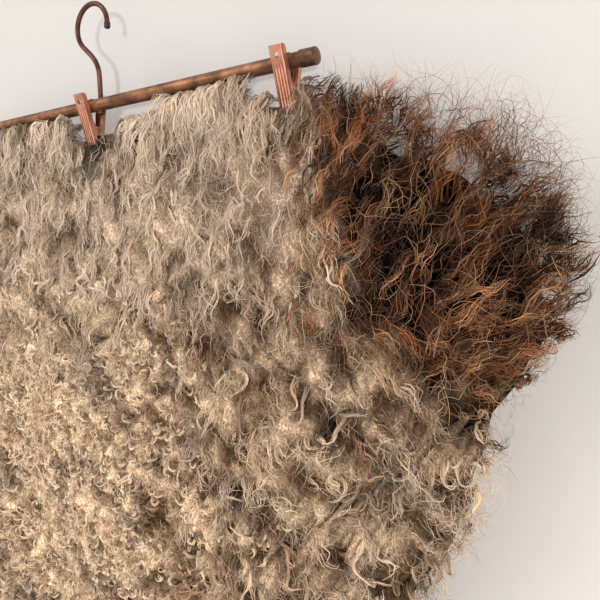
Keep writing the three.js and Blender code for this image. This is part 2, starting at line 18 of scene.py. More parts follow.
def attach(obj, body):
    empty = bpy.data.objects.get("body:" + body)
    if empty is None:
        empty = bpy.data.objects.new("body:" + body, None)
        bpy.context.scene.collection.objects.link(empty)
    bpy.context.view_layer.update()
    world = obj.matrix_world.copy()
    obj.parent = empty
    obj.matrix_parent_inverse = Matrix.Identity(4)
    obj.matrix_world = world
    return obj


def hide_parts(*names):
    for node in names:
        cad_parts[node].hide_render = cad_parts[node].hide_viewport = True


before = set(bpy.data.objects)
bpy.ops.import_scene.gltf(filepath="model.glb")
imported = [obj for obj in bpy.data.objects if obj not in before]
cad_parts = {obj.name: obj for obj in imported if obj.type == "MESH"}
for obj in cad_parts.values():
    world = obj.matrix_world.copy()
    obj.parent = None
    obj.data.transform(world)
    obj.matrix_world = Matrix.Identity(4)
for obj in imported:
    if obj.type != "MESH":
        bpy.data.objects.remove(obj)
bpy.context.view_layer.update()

ROD_CENTRE = np.array([0.0055, 0.0, -0.0775])
TAU = 2 * math.pi
WAVES = 18  # sine waves in one layer of noise
SIDES = 3  # corners of a strand's profile
STREAK_WIDTH = 0.00065  # width of a streak
STREAK_LENGTH = 0.011  # length of a streak along a strand
RIB_TOP = -0.0805  # height of the tops of the clips' pressed ribs
OUT_OF_FLEECE = (0.02, -1.0, 0.01)  # the way the wool faces, a little off the axes
BRIGHTEST = 0.9  # most that a wool colour's channel may hold
MOST_TRIANGLES = 190_000  # in one piece

Array = np.ndarray
Colour = tuple[float, float, float]

log = logging.getLogger("hanger")


# Numbers


def from_screen(colour: Colour) -> Colour:
    """Turn a colour in 0-255 screen values into the linear values that shaders take.

    Args:
        colour: Red, green and blue, 0 to 255.

    Returns:
        The linear colour.
    """
    shares = np.array(colour) / 255
    linear = np.where(shares <= 0.04045, shares / 12.92, ((shares + 0.055) / 1.055) ** 2.4)
    return tuple(float(part) for part in linear)


def ease(value: Array, low: float, high: float) -> Array:
    """Rise from 0 at low to 1 at high along 3t^2 - 2t^3.

    Args:
        value: Where to read the curve.
        low: Where it leaves 0.
        high: Where it reaches 1.

    Returns:
        The eased share.
    """
    share = np.clip((value - low) / (high - low), 0, 1)
    return share * share * (3 - 2 * share)


def blend(start: Array, end: Array, share: Array) -> Array:
    """Return start where share is 0 and end where it is 1."""
    return start + (end - start) * share


def held(colour: Array) -> Array:
    """Dim colours whose brightest channel is over the limit until it is at the limit."""
    return colour * np.minimum(BRIGHTEST / np.maximum(colour.max(-1, keepdims=True), 1e-6), 1)


def ripples(x: Array, z: Array, *layers: tuple[float, float, int]) -> Array:
    """Sum layers of smooth uneven noise.

    A layer is height * the sum of sin(k . p + phase) over waves that run in random directions,
    scaled to unit spread.

    Args:
        x: Places along the rod.
        z: Heights.
        layers: Height, distance between crests in metres, and seed of each layer.

    Returns:
        The noise, mostly between -2 and 2 times the heights.
    """
    total = 0
    for height, pitch, seed in layers:
        draw = np.random.default_rng(seed)
        turn = draw.uniform(0, TAU, WAVES)
        rate = TAU / pitch * draw.uniform(0.55, 1.5, WAVES)
        phase = draw.uniform(0, TAU, WAVES)
        along_x = np.multiply.outer(x, rate * np.cos(turn))
        along = along_x + np.multiply.outer(z, rate * np.sin(turn))
        total = total + height * (np.sin(along + phase).sum(-1) / math.sqrt(WAVES / 2))
    return total


# Meshes


def mesh_piece(
    name: str,
    points: Array,
    faces: list[Array],
    tint: Array | None = None,
    flow: Array | None = None,
) -> bpy.types.Object:
    """Make an object of smooth faces from whole arrays.

    Args:
        name: The piece's name.
        points: Vertices, one row each, in the model's frame.
        faces: Arrays of vertex numbers, one row per face, each array with faces of one length.
        tint: Linear colour of each vertex, kept as the attribute "tint".
        flow: Coordinates along the strands, kept as the attribute "flow".

    Returns:
        The object, linked to the scene.
    """
    mesh = bpy.data.meshes.new(name)
    lengths = np.concatenate([np.full(len(rows), rows.shape[1]) for rows in faces])
    corners = np.concatenate([rows.ravel() for rows in faces])
    mesh.vertices.add(len(points))
    mesh.loops.add(len(corners))
    mesh.polygons.add(len(lengths))
    mesh.vertices.foreach_set("co", points.astype(np.float32).ravel())
    mesh.loops.foreach_set("vertex_index", corners.astype(np.int32))
    mesh.polygons.foreach_set("loop_start", (np.cumsum(lengths) - lengths).astype(np.int32))
    mesh.polygons.foreach_set("use_smooth", np.ones(len(lengths), bool))
    if tint is not None:
        tint = np.column_stack([tint, np.ones(len(tint))])
    for label, kind, key, values in (
        ("tint", "FLOAT_COLOR", "color", tint),
        ("flow", "FLOAT_VECTOR", "vector", flow),
    ):
        if values is not None:
            layer = mesh.attributes.new(label, kind, "POINT")
            layer.data.foreach_set(key, values.astype(np.float32).ravel())
    mesh.update(calc_edges=True)
    return linked(name, mesh)


def linked(name: str, data: bpy.types.ID) -> bpy.types.Object:
    """Make an object of a mesh, a lamp or a camera and link it to the scene.

    Args:
        name: The object's name.
        data: What it shows.

    Returns:
        The object.
    """
    made = bpy.data.objects.new(name, data)
    bpy.context.scene.collection.objects.link(made)
    return made


def unit(vectors: Array) -> Array:
    """Scale vectors to length one."""
    return vectors / np.maximum(np.linalg.norm(vectors, axis=-1, keepdims=True), 1e-12)


def square_to(paths: Array) -> tuple[Array, Array]:
    """Find two directions square to paths at each of their points.

    Args:
        paths: Centrelines, shaped (strands, steps, 3).

    Returns:
        Across, which lies in the fleece's surface, and up, which stands out of it.
    """
    tangents = unit(np.gradient(paths, axis=1))
    across = unit(np.cross(tangents, OUT_OF_FLEECE))
    return across, np.cross(across, tangents)


def strands(paths: Array, widths: Array, depths: Array) -> tuple[Array, list[Array], Array]:
    """Carry an oval profile along many paths at once.

    A ring of points stands square to each path at each of its steps: centre + width * cos a *
    across + depth * sin a * up, where across lies in the fleece's surface and up stands out of it.

    Args:
        paths: Centrelines, shaped (strands, steps, 3).
        widths: Half width at each step, shaped (strands, steps).
        depths: Half depth at each step, shaped (strands, steps).

    Returns:
        The vertices, the faces of closed strands, and coordinates that run along each strand: two
        round it and one along it, apart from one strand to the next.
    """
    count, steps, _ = paths.shape
    across, up = square_to(paths)
    turn = np.arange(SIDES) * TAU / SIDES + TAU / 4
    sideways = widths[:, :, None, None] * np.cos(turn)[:, None] * across[:, :, None]
    outwards = depths[:, :, None, None] * np.sin(turn)[:, None] * up[:, :, None]
    points = paths[:, :, None] + sideways + outwards
    index = np.arange(count * steps * SIDES).reshape(count, steps, SIDES)
    near, far = index[:, :-1], index[:, 1:]
    walls = np.stack([near, far, np.roll(far, -1, 2), np.roll(near, -1, 2)], -1).reshape(-1, 4)
    ends = np.concatenate([index[:, 0], index[:, -1, ::-1]])
    length = np.linalg.norm(np.diff(paths, axis=1, prepend=paths[:, :1]), axis=-1).cumsum(1)
    apart = (np.arange(count) * 7.31 % 97)[:, None, None]
    flow = np.empty((count, steps, SIDES, 3))
    flow[..., 0] = widths[:, :, None] / STREAK_WIDTH * np.cos(turn) + apart
    flow[..., 1] = widths[:, :, None] / STREAK_WIDTH * np.sin(turn) + apart
    flow[..., 2] = length[:, :, None] / STREAK_LENGTH
    return points.reshape(-1, 3), [walls, ends], flow.reshape(-1, 3)


def closed_disc(front: Array, back: Array) -> tuple[Array, list[Array]]:
    """Close a front and a back grid of rings into one body, each middle a fan about a point.

    Args:
        front: Front points, shaped (rings, spokes, 3), from the middle outwards.
        back: Back points, shaped alike but with as few rings as they need.

    Returns:
        The vertices and the faces.
    """
    spokes, total = front.shape[1], front.shape[0] * front.shape[1]
    faces, last, middle = [], [], total + back.shape[0] * spokes
    for side, start, turned in ((front, 0, 1), (back, total, -1)):
        ring = np.arange(side.shape[0] * spokes).reshape(-1, spokes) + start
        after = np.roll(ring, -1, 1)
        quads = np.stack([ring[:-1], ring[1:], after[1:], after[:-1]], -1)
        fan = np.stack([np.full(spokes, middle), ring[0], after[0]], -1)
        faces += [quads.reshape(-1, 4)[:, ::turned], fan[:, ::turned]]
        last.append(ring[-1])
        middle += 1
    outer, inner = last
    faces.append(np.stack([outer, inner, np.roll(inner, -1), np.roll(outer, -1)], -1))
    middles = np.stack([front[0].mean(0), back[0].mean(0)])
    points = np.concatenate([front.reshape(-1, 3), back.reshape(-1, 3), middles])
    return points, faces


# Shader maths


def operator(operation: str, swapped: bool = False) -> Callable[["Link", object], "Link"]:
    """Make one of Link's operators.

    Args:
        operation: The Math node's operation.
        swapped: Whether the link is the second of the two values.

    Returns:
        The method.
    """

    def method(self: "Link", other: object) -> "Link":
        """Add the Math node to the link's tree."""
        return self.sheet.maths(operation, *((other, self) if swapped else (self, other)))

    return method


@dataclass(frozen=True)
class Link:
    """A shader value that Python's operators add Math nodes to.

    Attributes:
        sheet: The tree that it belongs to.
        socket: The node's output.
    """

    sheet: "Nodes"
    socket: bpy.types.NodeSocket

    __add__ = __radd__ = operator("ADD")
    __sub__ = operator("SUBTRACT")
    __rsub__ = operator("SUBTRACT", swapped=True)
    __mul__ = __rmul__ = operator("MULTIPLY")


class Nodes:
    """The node tree of a material or a world, with one call for any node."""

    def __init__(self, owner: bpy.types.ID) -> None:
        """Start with an empty tree.

        Args:
            owner: The material or the world.
        """
        owner.use_nodes = True
        self.owner, self.tree = owner, owner.node_tree
        self.tree.nodes.clear()

    def fill(self, socket: bpy.types.NodeSocket, value: object) -> None:
        """Give an input a value or a link.

        Args:
            socket: The input.
            value: The value or the link.
        """
        if isinstance(value, Link):
            self.tree.links.new(value.socket, socket)
        else:
            socket.default_value = value

    def add(
        self, kind: str, settings: dict | None = None, inputs: dict | None = None, out: object = 0
    ) -> Link:
        """Add a node.

        Args:
            kind: Blender's name for the node's type.
            settings: Its own settings, set first.
            inputs: Values or links by socket name or number.
            out: Name or number of the output wanted.

        Returns:
            The output as a link.
        """
        node = self.tree.nodes.new(kind)
        for key, value in (settings or {}).items():
            setattr(node, key, value)
        for key, value in (inputs or {}).items():
            self.fill(node.inputs[key], value)
        return Link(self, node.outputs[out]) if len(node.outputs) else None

    def maths(self, operation: str, *values: object) -> Link:
        """Add a Math node for an operation on one or two values or links."""
        return self.add("ShaderNodeMath", {"operation": operation}, dict(enumerate(values)))

    def place(self) -> Link:
        """Return the object's own coordinates."""
        return self.add("ShaderNodeTexCoord", out="Object")

    def stretched(self, scale: Colour) -> Link:
        """Return the object's coordinates, scaled along each axis."""
        return self.add("ShaderNodeMapping", {}, {"Vector": self.place(), "Scale": scale})

    def noise(self, scale: float, detail: float = 3, where: Link | None = None) -> Link:
        """Return cloudy noise of this many lumps a metre."""
        inputs = {"Vector": where or self.place(), "Scale": scale, "Detail": detail}
        return self.add("ShaderNodeTexNoise", {}, inputs, "Fac")

    def between(self, share: object, first: object, second: object, kind: str = "MIX") -> Link:
        """Mix two colours.

        Args:
            share: How much of the second is taken.
            first: A colour or a link.
            second: The other colour or link.
            kind: How they are mixed.

        Returns:
            The mixed colour.
        """
        node = self.tree.nodes.new("ShaderNodeMix")
        node.data_type, node.blend_type = "RGBA", kind
        self.fill(node.inputs[0], share)
        for socket, value in ((node.inputs[6], first), (node.inputs[7], second)):
            self.fill(socket, value if isinstance(value, Link) else (*value, 1))
        return Link(self, node.outputs[2])

    def tinted(self, colour: Link, factor: Colour) -> Link:
        """Multiply a colour by another."""
        return self.between(1.0, colour, factor, "MULTIPLY")

    def from_range(
        self, value: Link, low: float, high: float, to_low: float = 0.0, to_high: float = 1.0
    ) -> Link:
        """Map a range of values onto another, held at its ends.

        Args:
            value: The value.
            low: Where the first range begins.
            high: Where it ends.
            to_low: What its beginning becomes.
            to_high: What its end becomes.

        Returns:
            The mapped value.
        """
        ends = {"From Min": low, "From Max": high, "To Min": to_low, "To Max": to_high}
        return self.add("ShaderNodeMapRange", {}, {"Value": value} | ends)

    def bump(
        self, height: Link, strength: float, distance: float, normal: Link | None = None
    ) -> Link:
        """Bend a normal by a height.

        Args:
            height: The height.
            strength: How strongly it bends.
            distance: What a height of one stands for, in metres.
            normal: The normal, if it isn't the surface's own.

        Returns:
            The bent normal.
        """
        inputs = {"Height": height, "Strength": strength, "Distance": distance}
        if normal is not None:
            inputs["Normal"] = normal
        return self.add("ShaderNodeBump", {}, inputs, "Normal")

    def size(self, value: Link) -> Link:
        """Return a value without its sign."""
        return self.maths("ABSOLUTE", value)

    def along(self, vector: Link, pull: Colour) -> Link:
        """Add a fixed vector to another and scale the sum to length one."""
        pulled = self.add("ShaderNodeVectorMath", {"operation": "ADD"}, {0: vector, 1: pull})
        return self.add("ShaderNodeVectorMath", {"operation": "NORMALIZE"}, {0: pulled})

    def finish(self, inputs: dict) -> bpy.types.Material:
        """End the tree in a Principled surface.

        Args:
            inputs: Its sockets' values or links.

        Returns:
            The material.
        """
        surface = self.add("ShaderNodeBsdfPrincipled", {}, inputs)
        self.add("ShaderNodeOutputMaterial", {}, {"Surface": surface})
        return self.owner


# Finishes


@dataclass(frozen=True)
class WornMetal:
    """Plated or painted metal with drawn streaks, cloudy tarnish and small scuffs.

    Attributes:
        bright: Screen colour where it is rubbed.
        dull: Screen colour where it has tarnished.
        roughness: Roughness of the rubbed metal.
        metallic: Share of metal in the surface.
        grain: Stretch of the drawn streaks along X, Y and Z; small is along the grain.
        middle: X of a clip's middle, if painted shade lies beside its pressed ribs and in its
            folds.
    """

    bright: Colour
    dull: Colour
    roughness: float = 0.34
    metallic: float = 0.9
    grain: Colour = (1.0, 1.0, 1.0)
    middle: float | None = None

    # Where painted shade lies on a clip: distance from its middle, and half the shaded line's width
    GROOVE_SHADE = {"ribs": (0.0011, 0.0004), "rims": (0.0033, 0.0004), "folds": (0.0049, 0.00035)}
    GROOVE_SHADE_TINT = (0.36, 0.28, 0.24)

    def groove_shade(self, nodes: Nodes) -> Link:
        """Draw thin lines of painted shade by the clip's object X, at fixed distances from its
        middle.

        Args:
            nodes: The material's nodes.

        Returns:
            1 beside the ribs, below their tops, and in the folds, and 0 on plain metal.
        """
        x, z = (nodes.add("ShaderNodeSeparateXYZ", {}, {0: nodes.place()}, axis) for axis in "XZ")
        off = nodes.size(x - self.middle)
        ribs, rims, folds = (
            nodes.from_range(nodes.size(off - place), 0.5 * wide, wide, 1.0, 0.0)
            for place, wide in self.GROOVE_SHADE.values()
        )
        below = nodes.from_range(z, RIB_TOP - 0.001, RIB_TOP, 1.0, 0.0)
        return (ribs + rims) * below + folds

    def material(self, name: str) -> bpy.types.Material:
        """Build the material: tarnish by cloudy noise, streaks by noise stretched along the grain.

        Args:
            name: The material's name.

        Returns:
            The material.
        """
        nodes = Nodes(bpy.data.materials.new(name))
        cloud = nodes.noise(85, 5)
        streak = nodes.noise(900, 2, nodes.stretched(self.grain))
        scuff = nodes.from_range(nodes.noise(420, 4), 0.6, 0.72)
        worn = nodes.from_range(cloud * 0.7 + streak * 0.3, 0.38, 0.62)
        colour = nodes.between(worn, from_screen(self.dull), from_screen(self.bright))
        if self.middle is not None:
            # painted shade in the grooves beside the clip's ribs and along its folds
            colour = nodes.between(self.groove_shade(nodes), colour, nodes.tinted(colour, self.GROOVE_SHADE_TINT))
        inputs = {
            "Base Color": colour,
            "Metallic": self.metallic,
            "Roughness": worn * -0.1 + scuff * 0.12 + (self.roughness + 0.08),
            "Normal": nodes.bump(streak, 0.12, 0.0002),
        }
        return nodes.finish(inputs)


@dataclass(frozen=True)
class Rubber:
    """Dark moulded rubber or plastic with a fine tooth.

    Attributes:
        colour: Its screen colour.
        roughness: Its middle roughness.
    """

    colour: Colour
    roughness: float = 0.6

    def material(self, name: str) -> bpy.types.Material:
        """Build the material: even colour with cloudy bloom and fine bump.

        Args:
            name: The material's name.

        Returns:
            The material.
        """
        nodes = Nodes(bpy.data.materials.new(name))
        bloom = nodes.noise(260, 4)
        plain = from_screen(self.colour)
        pale = tuple(min(1.0, 2.2 * part + 0.01) for part in plain)
        colour = nodes.between(nodes.from_range(bloom, 0.45, 0.75, 0.0, 0.5), plain, pale)
        rough = bloom * 0.2 + (self.roughness - 0.1)
        tooth = nodes.bump(nodes.noise(2600, 2), 0.2, 0.0001)
        return nodes.finish({"Base Color": colour, "Roughness": rough, "Normal": tooth})


@dataclass(frozen=True)
class Felted:
    """Matted wool on the fleece's back: crossing short fibres pressed to a skin.

    Attributes:
        pale: Screen colour of the raised matting.
        deep: Screen colour in its hollows, darkened there as painted shade.
    """

    pale: Colour = (150, 138, 124)
    deep: Colour = (84, 74, 66)

    def material(self, name: str) -> bpy.types.Material:
        """Build the material: cloudy colour, crossed by two sets of fine fibres in bump and colour.

        Args:
            name: The material's name.

        Returns:
            The material.
        """
        nodes = Nodes(bpy.data.materials.new(name))
        cloud = nodes.noise(26, 5)
        upright = nodes.noise(300, 3, nodes.stretched((1.0, 1.0, 0.22)))
        level = nodes.noise(300, 3, nodes.stretched((0.22, 1.0, 1.0)))
        matting = upright * 0.5 + level * 0.5
        # cloudy colour of the felt, with painted shade in the matting's hollows
        share = nodes.from_range(cloud * 0.55 + matting * 0.45, 0.36, 0.62)
        inputs = {
            "Base Color": nodes.between(share, from_screen(self.deep), from_screen(self.pale)),
            "Roughness": matting * 0.15 + 0.8,
            "Sheen Weight": 0.25,
            "Normal": nodes.bump(matting, 0.7, 0.0012),
        }
        return nodes.finish(inputs)


@dataclass(frozen=True)
class Wool:
    """Wool whose colour the piece's own "tint" holds.

    Attributes:
        roughness: Its middle roughness.
        streaked: Whether streaks run along strands; if not, fuzz lies all over.
        shade: What the dark streaks or hollows multiply the tint by.
        light: What the pale streaks or fibres multiply it by.
        sheen: Weight of the soft sheen.
        gloss: Level of its plain reflection.
        outward: How strongly its shading is softened towards a face that looks out of the fleece.
    """

    roughness: float = 0.55
    streaked: bool = True
    shade: Colour = (0.80, 0.77, 0.74)
    light: Colour = (1.10, 1.09, 1.08)
    sheen: float = 0.10
    gloss: float = 0.25
    outward: float = 1.3

    @staticmethod
    def streaks(nodes: Nodes) -> tuple[Link, Link, float, float]:
        """Draw streaks along the strands by noise on their own coordinates.

        Args:
            nodes: The material's nodes.

        Returns:
            The height, the share of pale streaks, and the relief's strength and distance.
        """
        flow = nodes.add("ShaderNodeAttribute", {"attribute_name": "flow"}, {}, "Vector")
        fine = nodes.noise(1.0, 2, flow)
        return fine, nodes.from_range(fine, 0.34, 0.62), 0.35, 0.0005

    @staticmethod
    def fuzz(nodes: Nodes) -> tuple[Link, Link, float, float]:
        """Draw crossing fibres where two noises pass their middle value.

        Args:
            nodes: The material's nodes.

        Returns:
            The height, the share of pale fibres, and the relief's strength and distance.
        """
        long, short = (
            nodes.noise(scale, 2, nodes.stretched((1.0, 1.0, 0.55))) - 0.5 for scale in (300, 420)
        )
        lines = nodes.from_range(long * long, 0.0, 0.003, 1.0, 0.0)
        lines = lines + nodes.from_range(short * short, 0.0, 0.004, 0.7, 0.0)
        fine = lines * 0.5 + nodes.noise(60, 4) * 0.2
        return fine, nodes.from_range(fine, 0.10, 0.70), 0.8, 0.0015

    def material(self, name: str) -> bpy.types.Material:
        """Build the material: the tint, darker and paler by streaks or fuzz, with a soft sheen.

        Args:
            name: The material's name.

        Returns:
            The material.
        """
        nodes = Nodes(bpy.data.materials.new(name))
        tint = nodes.add("ShaderNodeAttribute", {"attribute_name": "tint"}, {}, "Color")
        fine, share, strength, distance = (self.streaks if self.streaked else self.fuzz)(nodes)
        facing = nodes.add("ShaderNodeNewGeometry", out="Normal")
        pull = (0.05 * self.outward, -self.outward, 0.15 * self.outward)
        inputs = {
            "Base Color": nodes.between(
                share, nodes.tinted(tint, self.shade), nodes.tinted(tint, self.light)
            ),
            "Roughness": fine * 0.2 + (self.roughness - 0.1),
            "Specular IOR Level": self.gloss,
            "Sheen Weight": self.sheen,
            "Sheen Roughness": 0.4,
            "Normal": nodes.bump(fine, strength, distance, nodes.along(facing, pull)),
        }
        return nodes.finish(inputs)


# Fleece


@dataclass(frozen=True)
class Pelt:
    """The fleece's outline, how it hangs and how its wool grows over it.

    Attributes:
        half_width: From the stem to the furthest lobe.
        height: From the wool's top to its lowest lobe.
        top: Height of the wool's top under the rod's axis.
        centre_share: Where along the height the outline's centre lies.
        lean: Slope at which it leaves the clips, towards the wall.
        grip_zone: Depth under the rod over which it follows the clips.
        hang_reach: Depth over which it turns upright.
        fold_depth: Half the depth of its folds.
        fold_pitch: Distance between folds.
        fold_fade: Depth over which the folds begin.
        fold_slant: Sideways drift of a fold per unit of height.
        backing: Thickness of the felted back.
        pile: Depth of the wool in the middle.
        rim: Depth of the wool at its edge.
    """

    half_width: float = 0.360
    height: float = 0.968
    top: float = 0.008
    centre_share: float = 0.47
    lean: float = math.tan(math.radians(4))
    grip_zone: float = 0.040
    hang_reach: float = 0.250
    fold_depth: float = 0.007
    fold_pitch: float = 0.185
    fold_fade: float = 0.260
    fold_slant: float = 0.22
    backing: float = 0.004
    pile: float = 0.034
    rim: float = 0.007

    # Shares of the half width to the right and of the height down from the wool's top
    CORNERS = (
        (-0.565, 0), (-0.18, 0.001), (0.2, 0), (0.56, 0.001), (0.73, 0.027), (0.89, 0.044),
        (0.97, 0.076), (1, 0.125), (0.985, 0.168), (0.93, 0.2), (0.89, 0.24), (0.85, 0.285),
        (0.76, 0.345), (0.67, 0.43), (0.66, 0.53), (0.74, 0.62), (0.89, 0.69), (0.93, 0.765),
        (0.79, 0.835), (0.52, 0.885), (0.3, 0.955), (0.02, 1), (-0.3, 0.968), (-0.55, 0.9),
        (-0.8, 0.83), (-0.95, 0.76), (-0.89, 0.67), (-0.72, 0.59), (-0.66, 0.49), (-0.72, 0.39),
        (-0.83, 0.29), (-0.95, 0.2), (-1, 0.13), (-0.95, 0.07), (-0.78, 0.026),
    )  # fmt: skip

    @property
    def centre_z(self) -> float:
        """Height of the outline's centre."""
        return -self.top - self.centre_share * self.height

    def outline(self, steps: int = 40) -> Array:
        """Run a closed centripetal Catmull-Rom curve through the corners.

        Between corners b and c the curve is a cubic with slopes from the neighbours a and d, where
        each gap counts as the square root of its length.

        Args:
            steps: Points between two corners.

        Returns:
            Points round the pelt, x and z in two columns.
        """
        corners = np.array(self.CORNERS) * [self.half_width, -self.height] - [0, self.top]
        a, b, c, d = (np.roll(corners, shift, 0)[:, None] for shift in (1, 0, -1, -2))
        gap_ab, gap_bc, gap_cd = (
            np.sqrt(np.linalg.norm(end - start, axis=-1, keepdims=True))
            for start, end in ((a, b), (b, c), (c, d))
        )
        slope_b = ((b - a) / gap_ab - (c - a) / (gap_ab + gap_bc) + (c - b) / gap_bc) * gap_bc
        slope_c = ((c - b) / gap_bc - (d - b) / (gap_bc + gap_cd) + (d - c) / gap_cd) * gap_bc
        t = (np.arange(steps) / steps)[None, :, None]
        square = (3 * (c - b) - 2 * slope_b - slope_c) * t**2
        curve = b + slope_b * t + square + (2 * (b - c) + slope_b + slope_c) * t**3
        return curve.reshape(-1, 2)

    def reach(self, angle: Array) -> Array:
        """Measure the distance from the centre to the outline.

        Args:
            angle: Directions, in radians up from +x.

        Returns:
            The distance in each direction.
        """
        rim = self.outline() - [0, self.centre_z]
        angles = np.arctan2(rim[:, 1], rim[:, 0])
        order = np.argsort(angles)
        return np.interp(angle, angles[order], np.hypot(*rim.T)[order], period=TAU)

    def spot(self, angle: Array, distance: Array) -> tuple[Array, Array]:
        """Return x and z at a distance from the centre."""
        return distance * np.cos(angle), self.centre_z + distance * np.sin(angle)

    def share(self, x: Array, z: Array) -> Array:
        """Return how far each place lies from the centre, as a share of the way to the outline."""
        rise = z - self.centre_z
        return np.hypot(x, rise) / self.reach(np.arctan2(rise, x))

    def inside(self, x: Array, z: Array) -> Array:
        """Return how far inside the wool's outline these places lie."""
        rise = z - self.centre_z
        return self.reach(np.arctan2(rise, x)) - np.hypot(x, rise)

    def hang(self, x: Array, z: Array) -> Array:
        """Return how far behind the rod's axis the felted back's middle hangs.

        It leaves the clips at their lean, turns upright by an exponential, and gains folds that
        are a cosine across x, slanted with z and fading in with depth.

        Args:
            x: Places along the rod.
            z: Heights.

        Returns:
            Y at each place.
        """
        past = np.maximum(-z - self.grip_zone, 0)
        turned = self.hang_reach * (1 - np.exp(-past / self.hang_reach))
        followed = np.minimum(-z, self.grip_zone) + turned
        folds = np.cos(TAU * (x + self.fold_slant * z) / self.fold_pitch)
        return followed * self.lean + self.fold_depth * ease(past, 0, self.fold_fade) * folds

    def depth(self, share: Array) -> Array:
        """Return the wool's depth: full in the middle, falling to the rim as a superellipse."""
        crown = np.sqrt(np.clip(1 - np.clip(share, 0, 1) ** 6, 0, 1))
        return self.rim + (self.pile - self.rim) * crown


@dataclass(frozen=True)
class LockStyle:
    """How one kind of lock grows. Lengths are in metres and angles in degrees.

    Attributes:
        length: Length of its strands.
        wave: Swing of its heading to each side.
        wave_pitch: Length of one whole wave.
        tip_curl: How far its tip winds up.
        curl_from: Share of its length at which the tip begins to wind.
        stray: Spread of its heading about the way the wool lies.
        width: Half its width near the root.
        closing: Share by which its strands draw together towards the tip.
        frizz: How far its strands stray from it.
        strip: Half width of its broad strands.
        hair: Radius of its fine strands.
        strips: Number of broad strands.
        hairs: Number of fine strands.
        patch: Area that it covers alone, in square metres.
        steps: Points along a strand.
        lowest: Least height that it lies at, as a share of the wool's depth.
        highest: Greatest such height.
    """

    length: float
    wave: float
    wave_pitch: float
    tip_curl: float
    curl_from: float
    stray: float
    width: float
    closing: float
    frizz: float
    strip: float
    hair: float
    strips: int
    hairs: int
    patch: float
    steps: int
    lowest: float = 0.55
    highest: float = 1.0


class Lock(Enum):
    """The kinds of lock on the fleece."""

    HANGING = LockStyle(
        length=0.050, wave=30, wave_pitch=0.024, tip_curl=55, curl_from=0.6, stray=10,
        width=0.0046, closing=0.55, frizz=0.0013, strip=0.00115, hair=0.00026, strips=2,
        hairs=6, patch=1.02e-4, steps=12, lowest=0.64,
    )  # fmt: skip
    FRIZZY = LockStyle(
        length=0.036, wave=34, wave_pitch=0.020, tip_curl=90, curl_from=0.5, stray=22,
        width=0.0056, closing=0.38, frizz=0.0024, strip=0.00085, hair=0.00025, strips=2,
        hairs=8, patch=0.95e-4, steps=10, lowest=0.62,
    )  # fmt: skip
    CURLED = LockStyle(
        length=0.040, wave=42, wave_pitch=0.027, tip_curl=150, curl_from=0.45, stray=18,
        width=0.0032, closing=0.70, frizz=0.0009, strip=0.00135, hair=0.00026, strips=2,
        hairs=6, patch=1.30e-4, steps=12, lowest=0.62,
    )  # fmt: skip
    PEARL = LockStyle(
        length=0.015, wave=20, wave_pitch=0.013, tip_curl=320, curl_from=0.12, stray=60,
        width=0.0015, closing=0.60, frizz=0.0004, strip=0.00120, hair=0.00019, strips=2,
        hairs=0, patch=0.41e-4, steps=8, lowest=0.78, highest=1.04,
    )  # fmt: skip
    SWEPT = LockStyle(
        length=0.060, wave=32, wave_pitch=0.030, tip_curl=40, curl_from=0.6, stray=8,
        width=0.0056, closing=0.30, frizz=0.0020, strip=0.00060, hair=0.00017, strips=3,
        hairs=11, patch=0.66e-4, steps=11,
    )  # fmt: skip


@dataclass(frozen=True)
class Palette:
    """Root, middle and tip colours of one sort of wool, in screen values."""

    root: Colour
    middle: Colour
    tip: Colour

    def along(self, share: Array) -> Array:
        """Run from the root's colour over the middle's to the tip's along a fibre.

        Args:
            share: Share of the way from root to tip.

        Returns:
            Linear colours, one row per place.
        """
        root, middle, tip = (
            np.array(from_screen(colour)) for colour in (self.root, self.middle, self.tip)
        )
        share = share[..., None]
        lower = blend(root, middle, np.clip(share * 2, 0, 1))
        return blend(lower, tip, np.clip(share * 2 - 1, 0, 1))


class WoolColour(Enum):
    """The sorts of wool in the fleece."""

    CREAM = Palette((176, 147, 122), (236, 209, 180), (243, 220, 193))
    HONEY = Palette((174, 141, 110), (232, 200, 165), (243, 218, 186))
    GREY = Palette((76, 60, 50), (146, 124, 106), (214, 192, 166))
    BROWN = Palette((10, 5, 3), (46, 27, 18), (104, 69, 48))
    TAN = Palette((52, 34, 24), (148, 108, 78), (212, 170, 130))
    RUST = Palette((40, 21, 12), (128, 77, 48), (186, 130, 88))
    FELT = Palette((56, 47, 38), (104, 90, 74), (150, 132, 112))


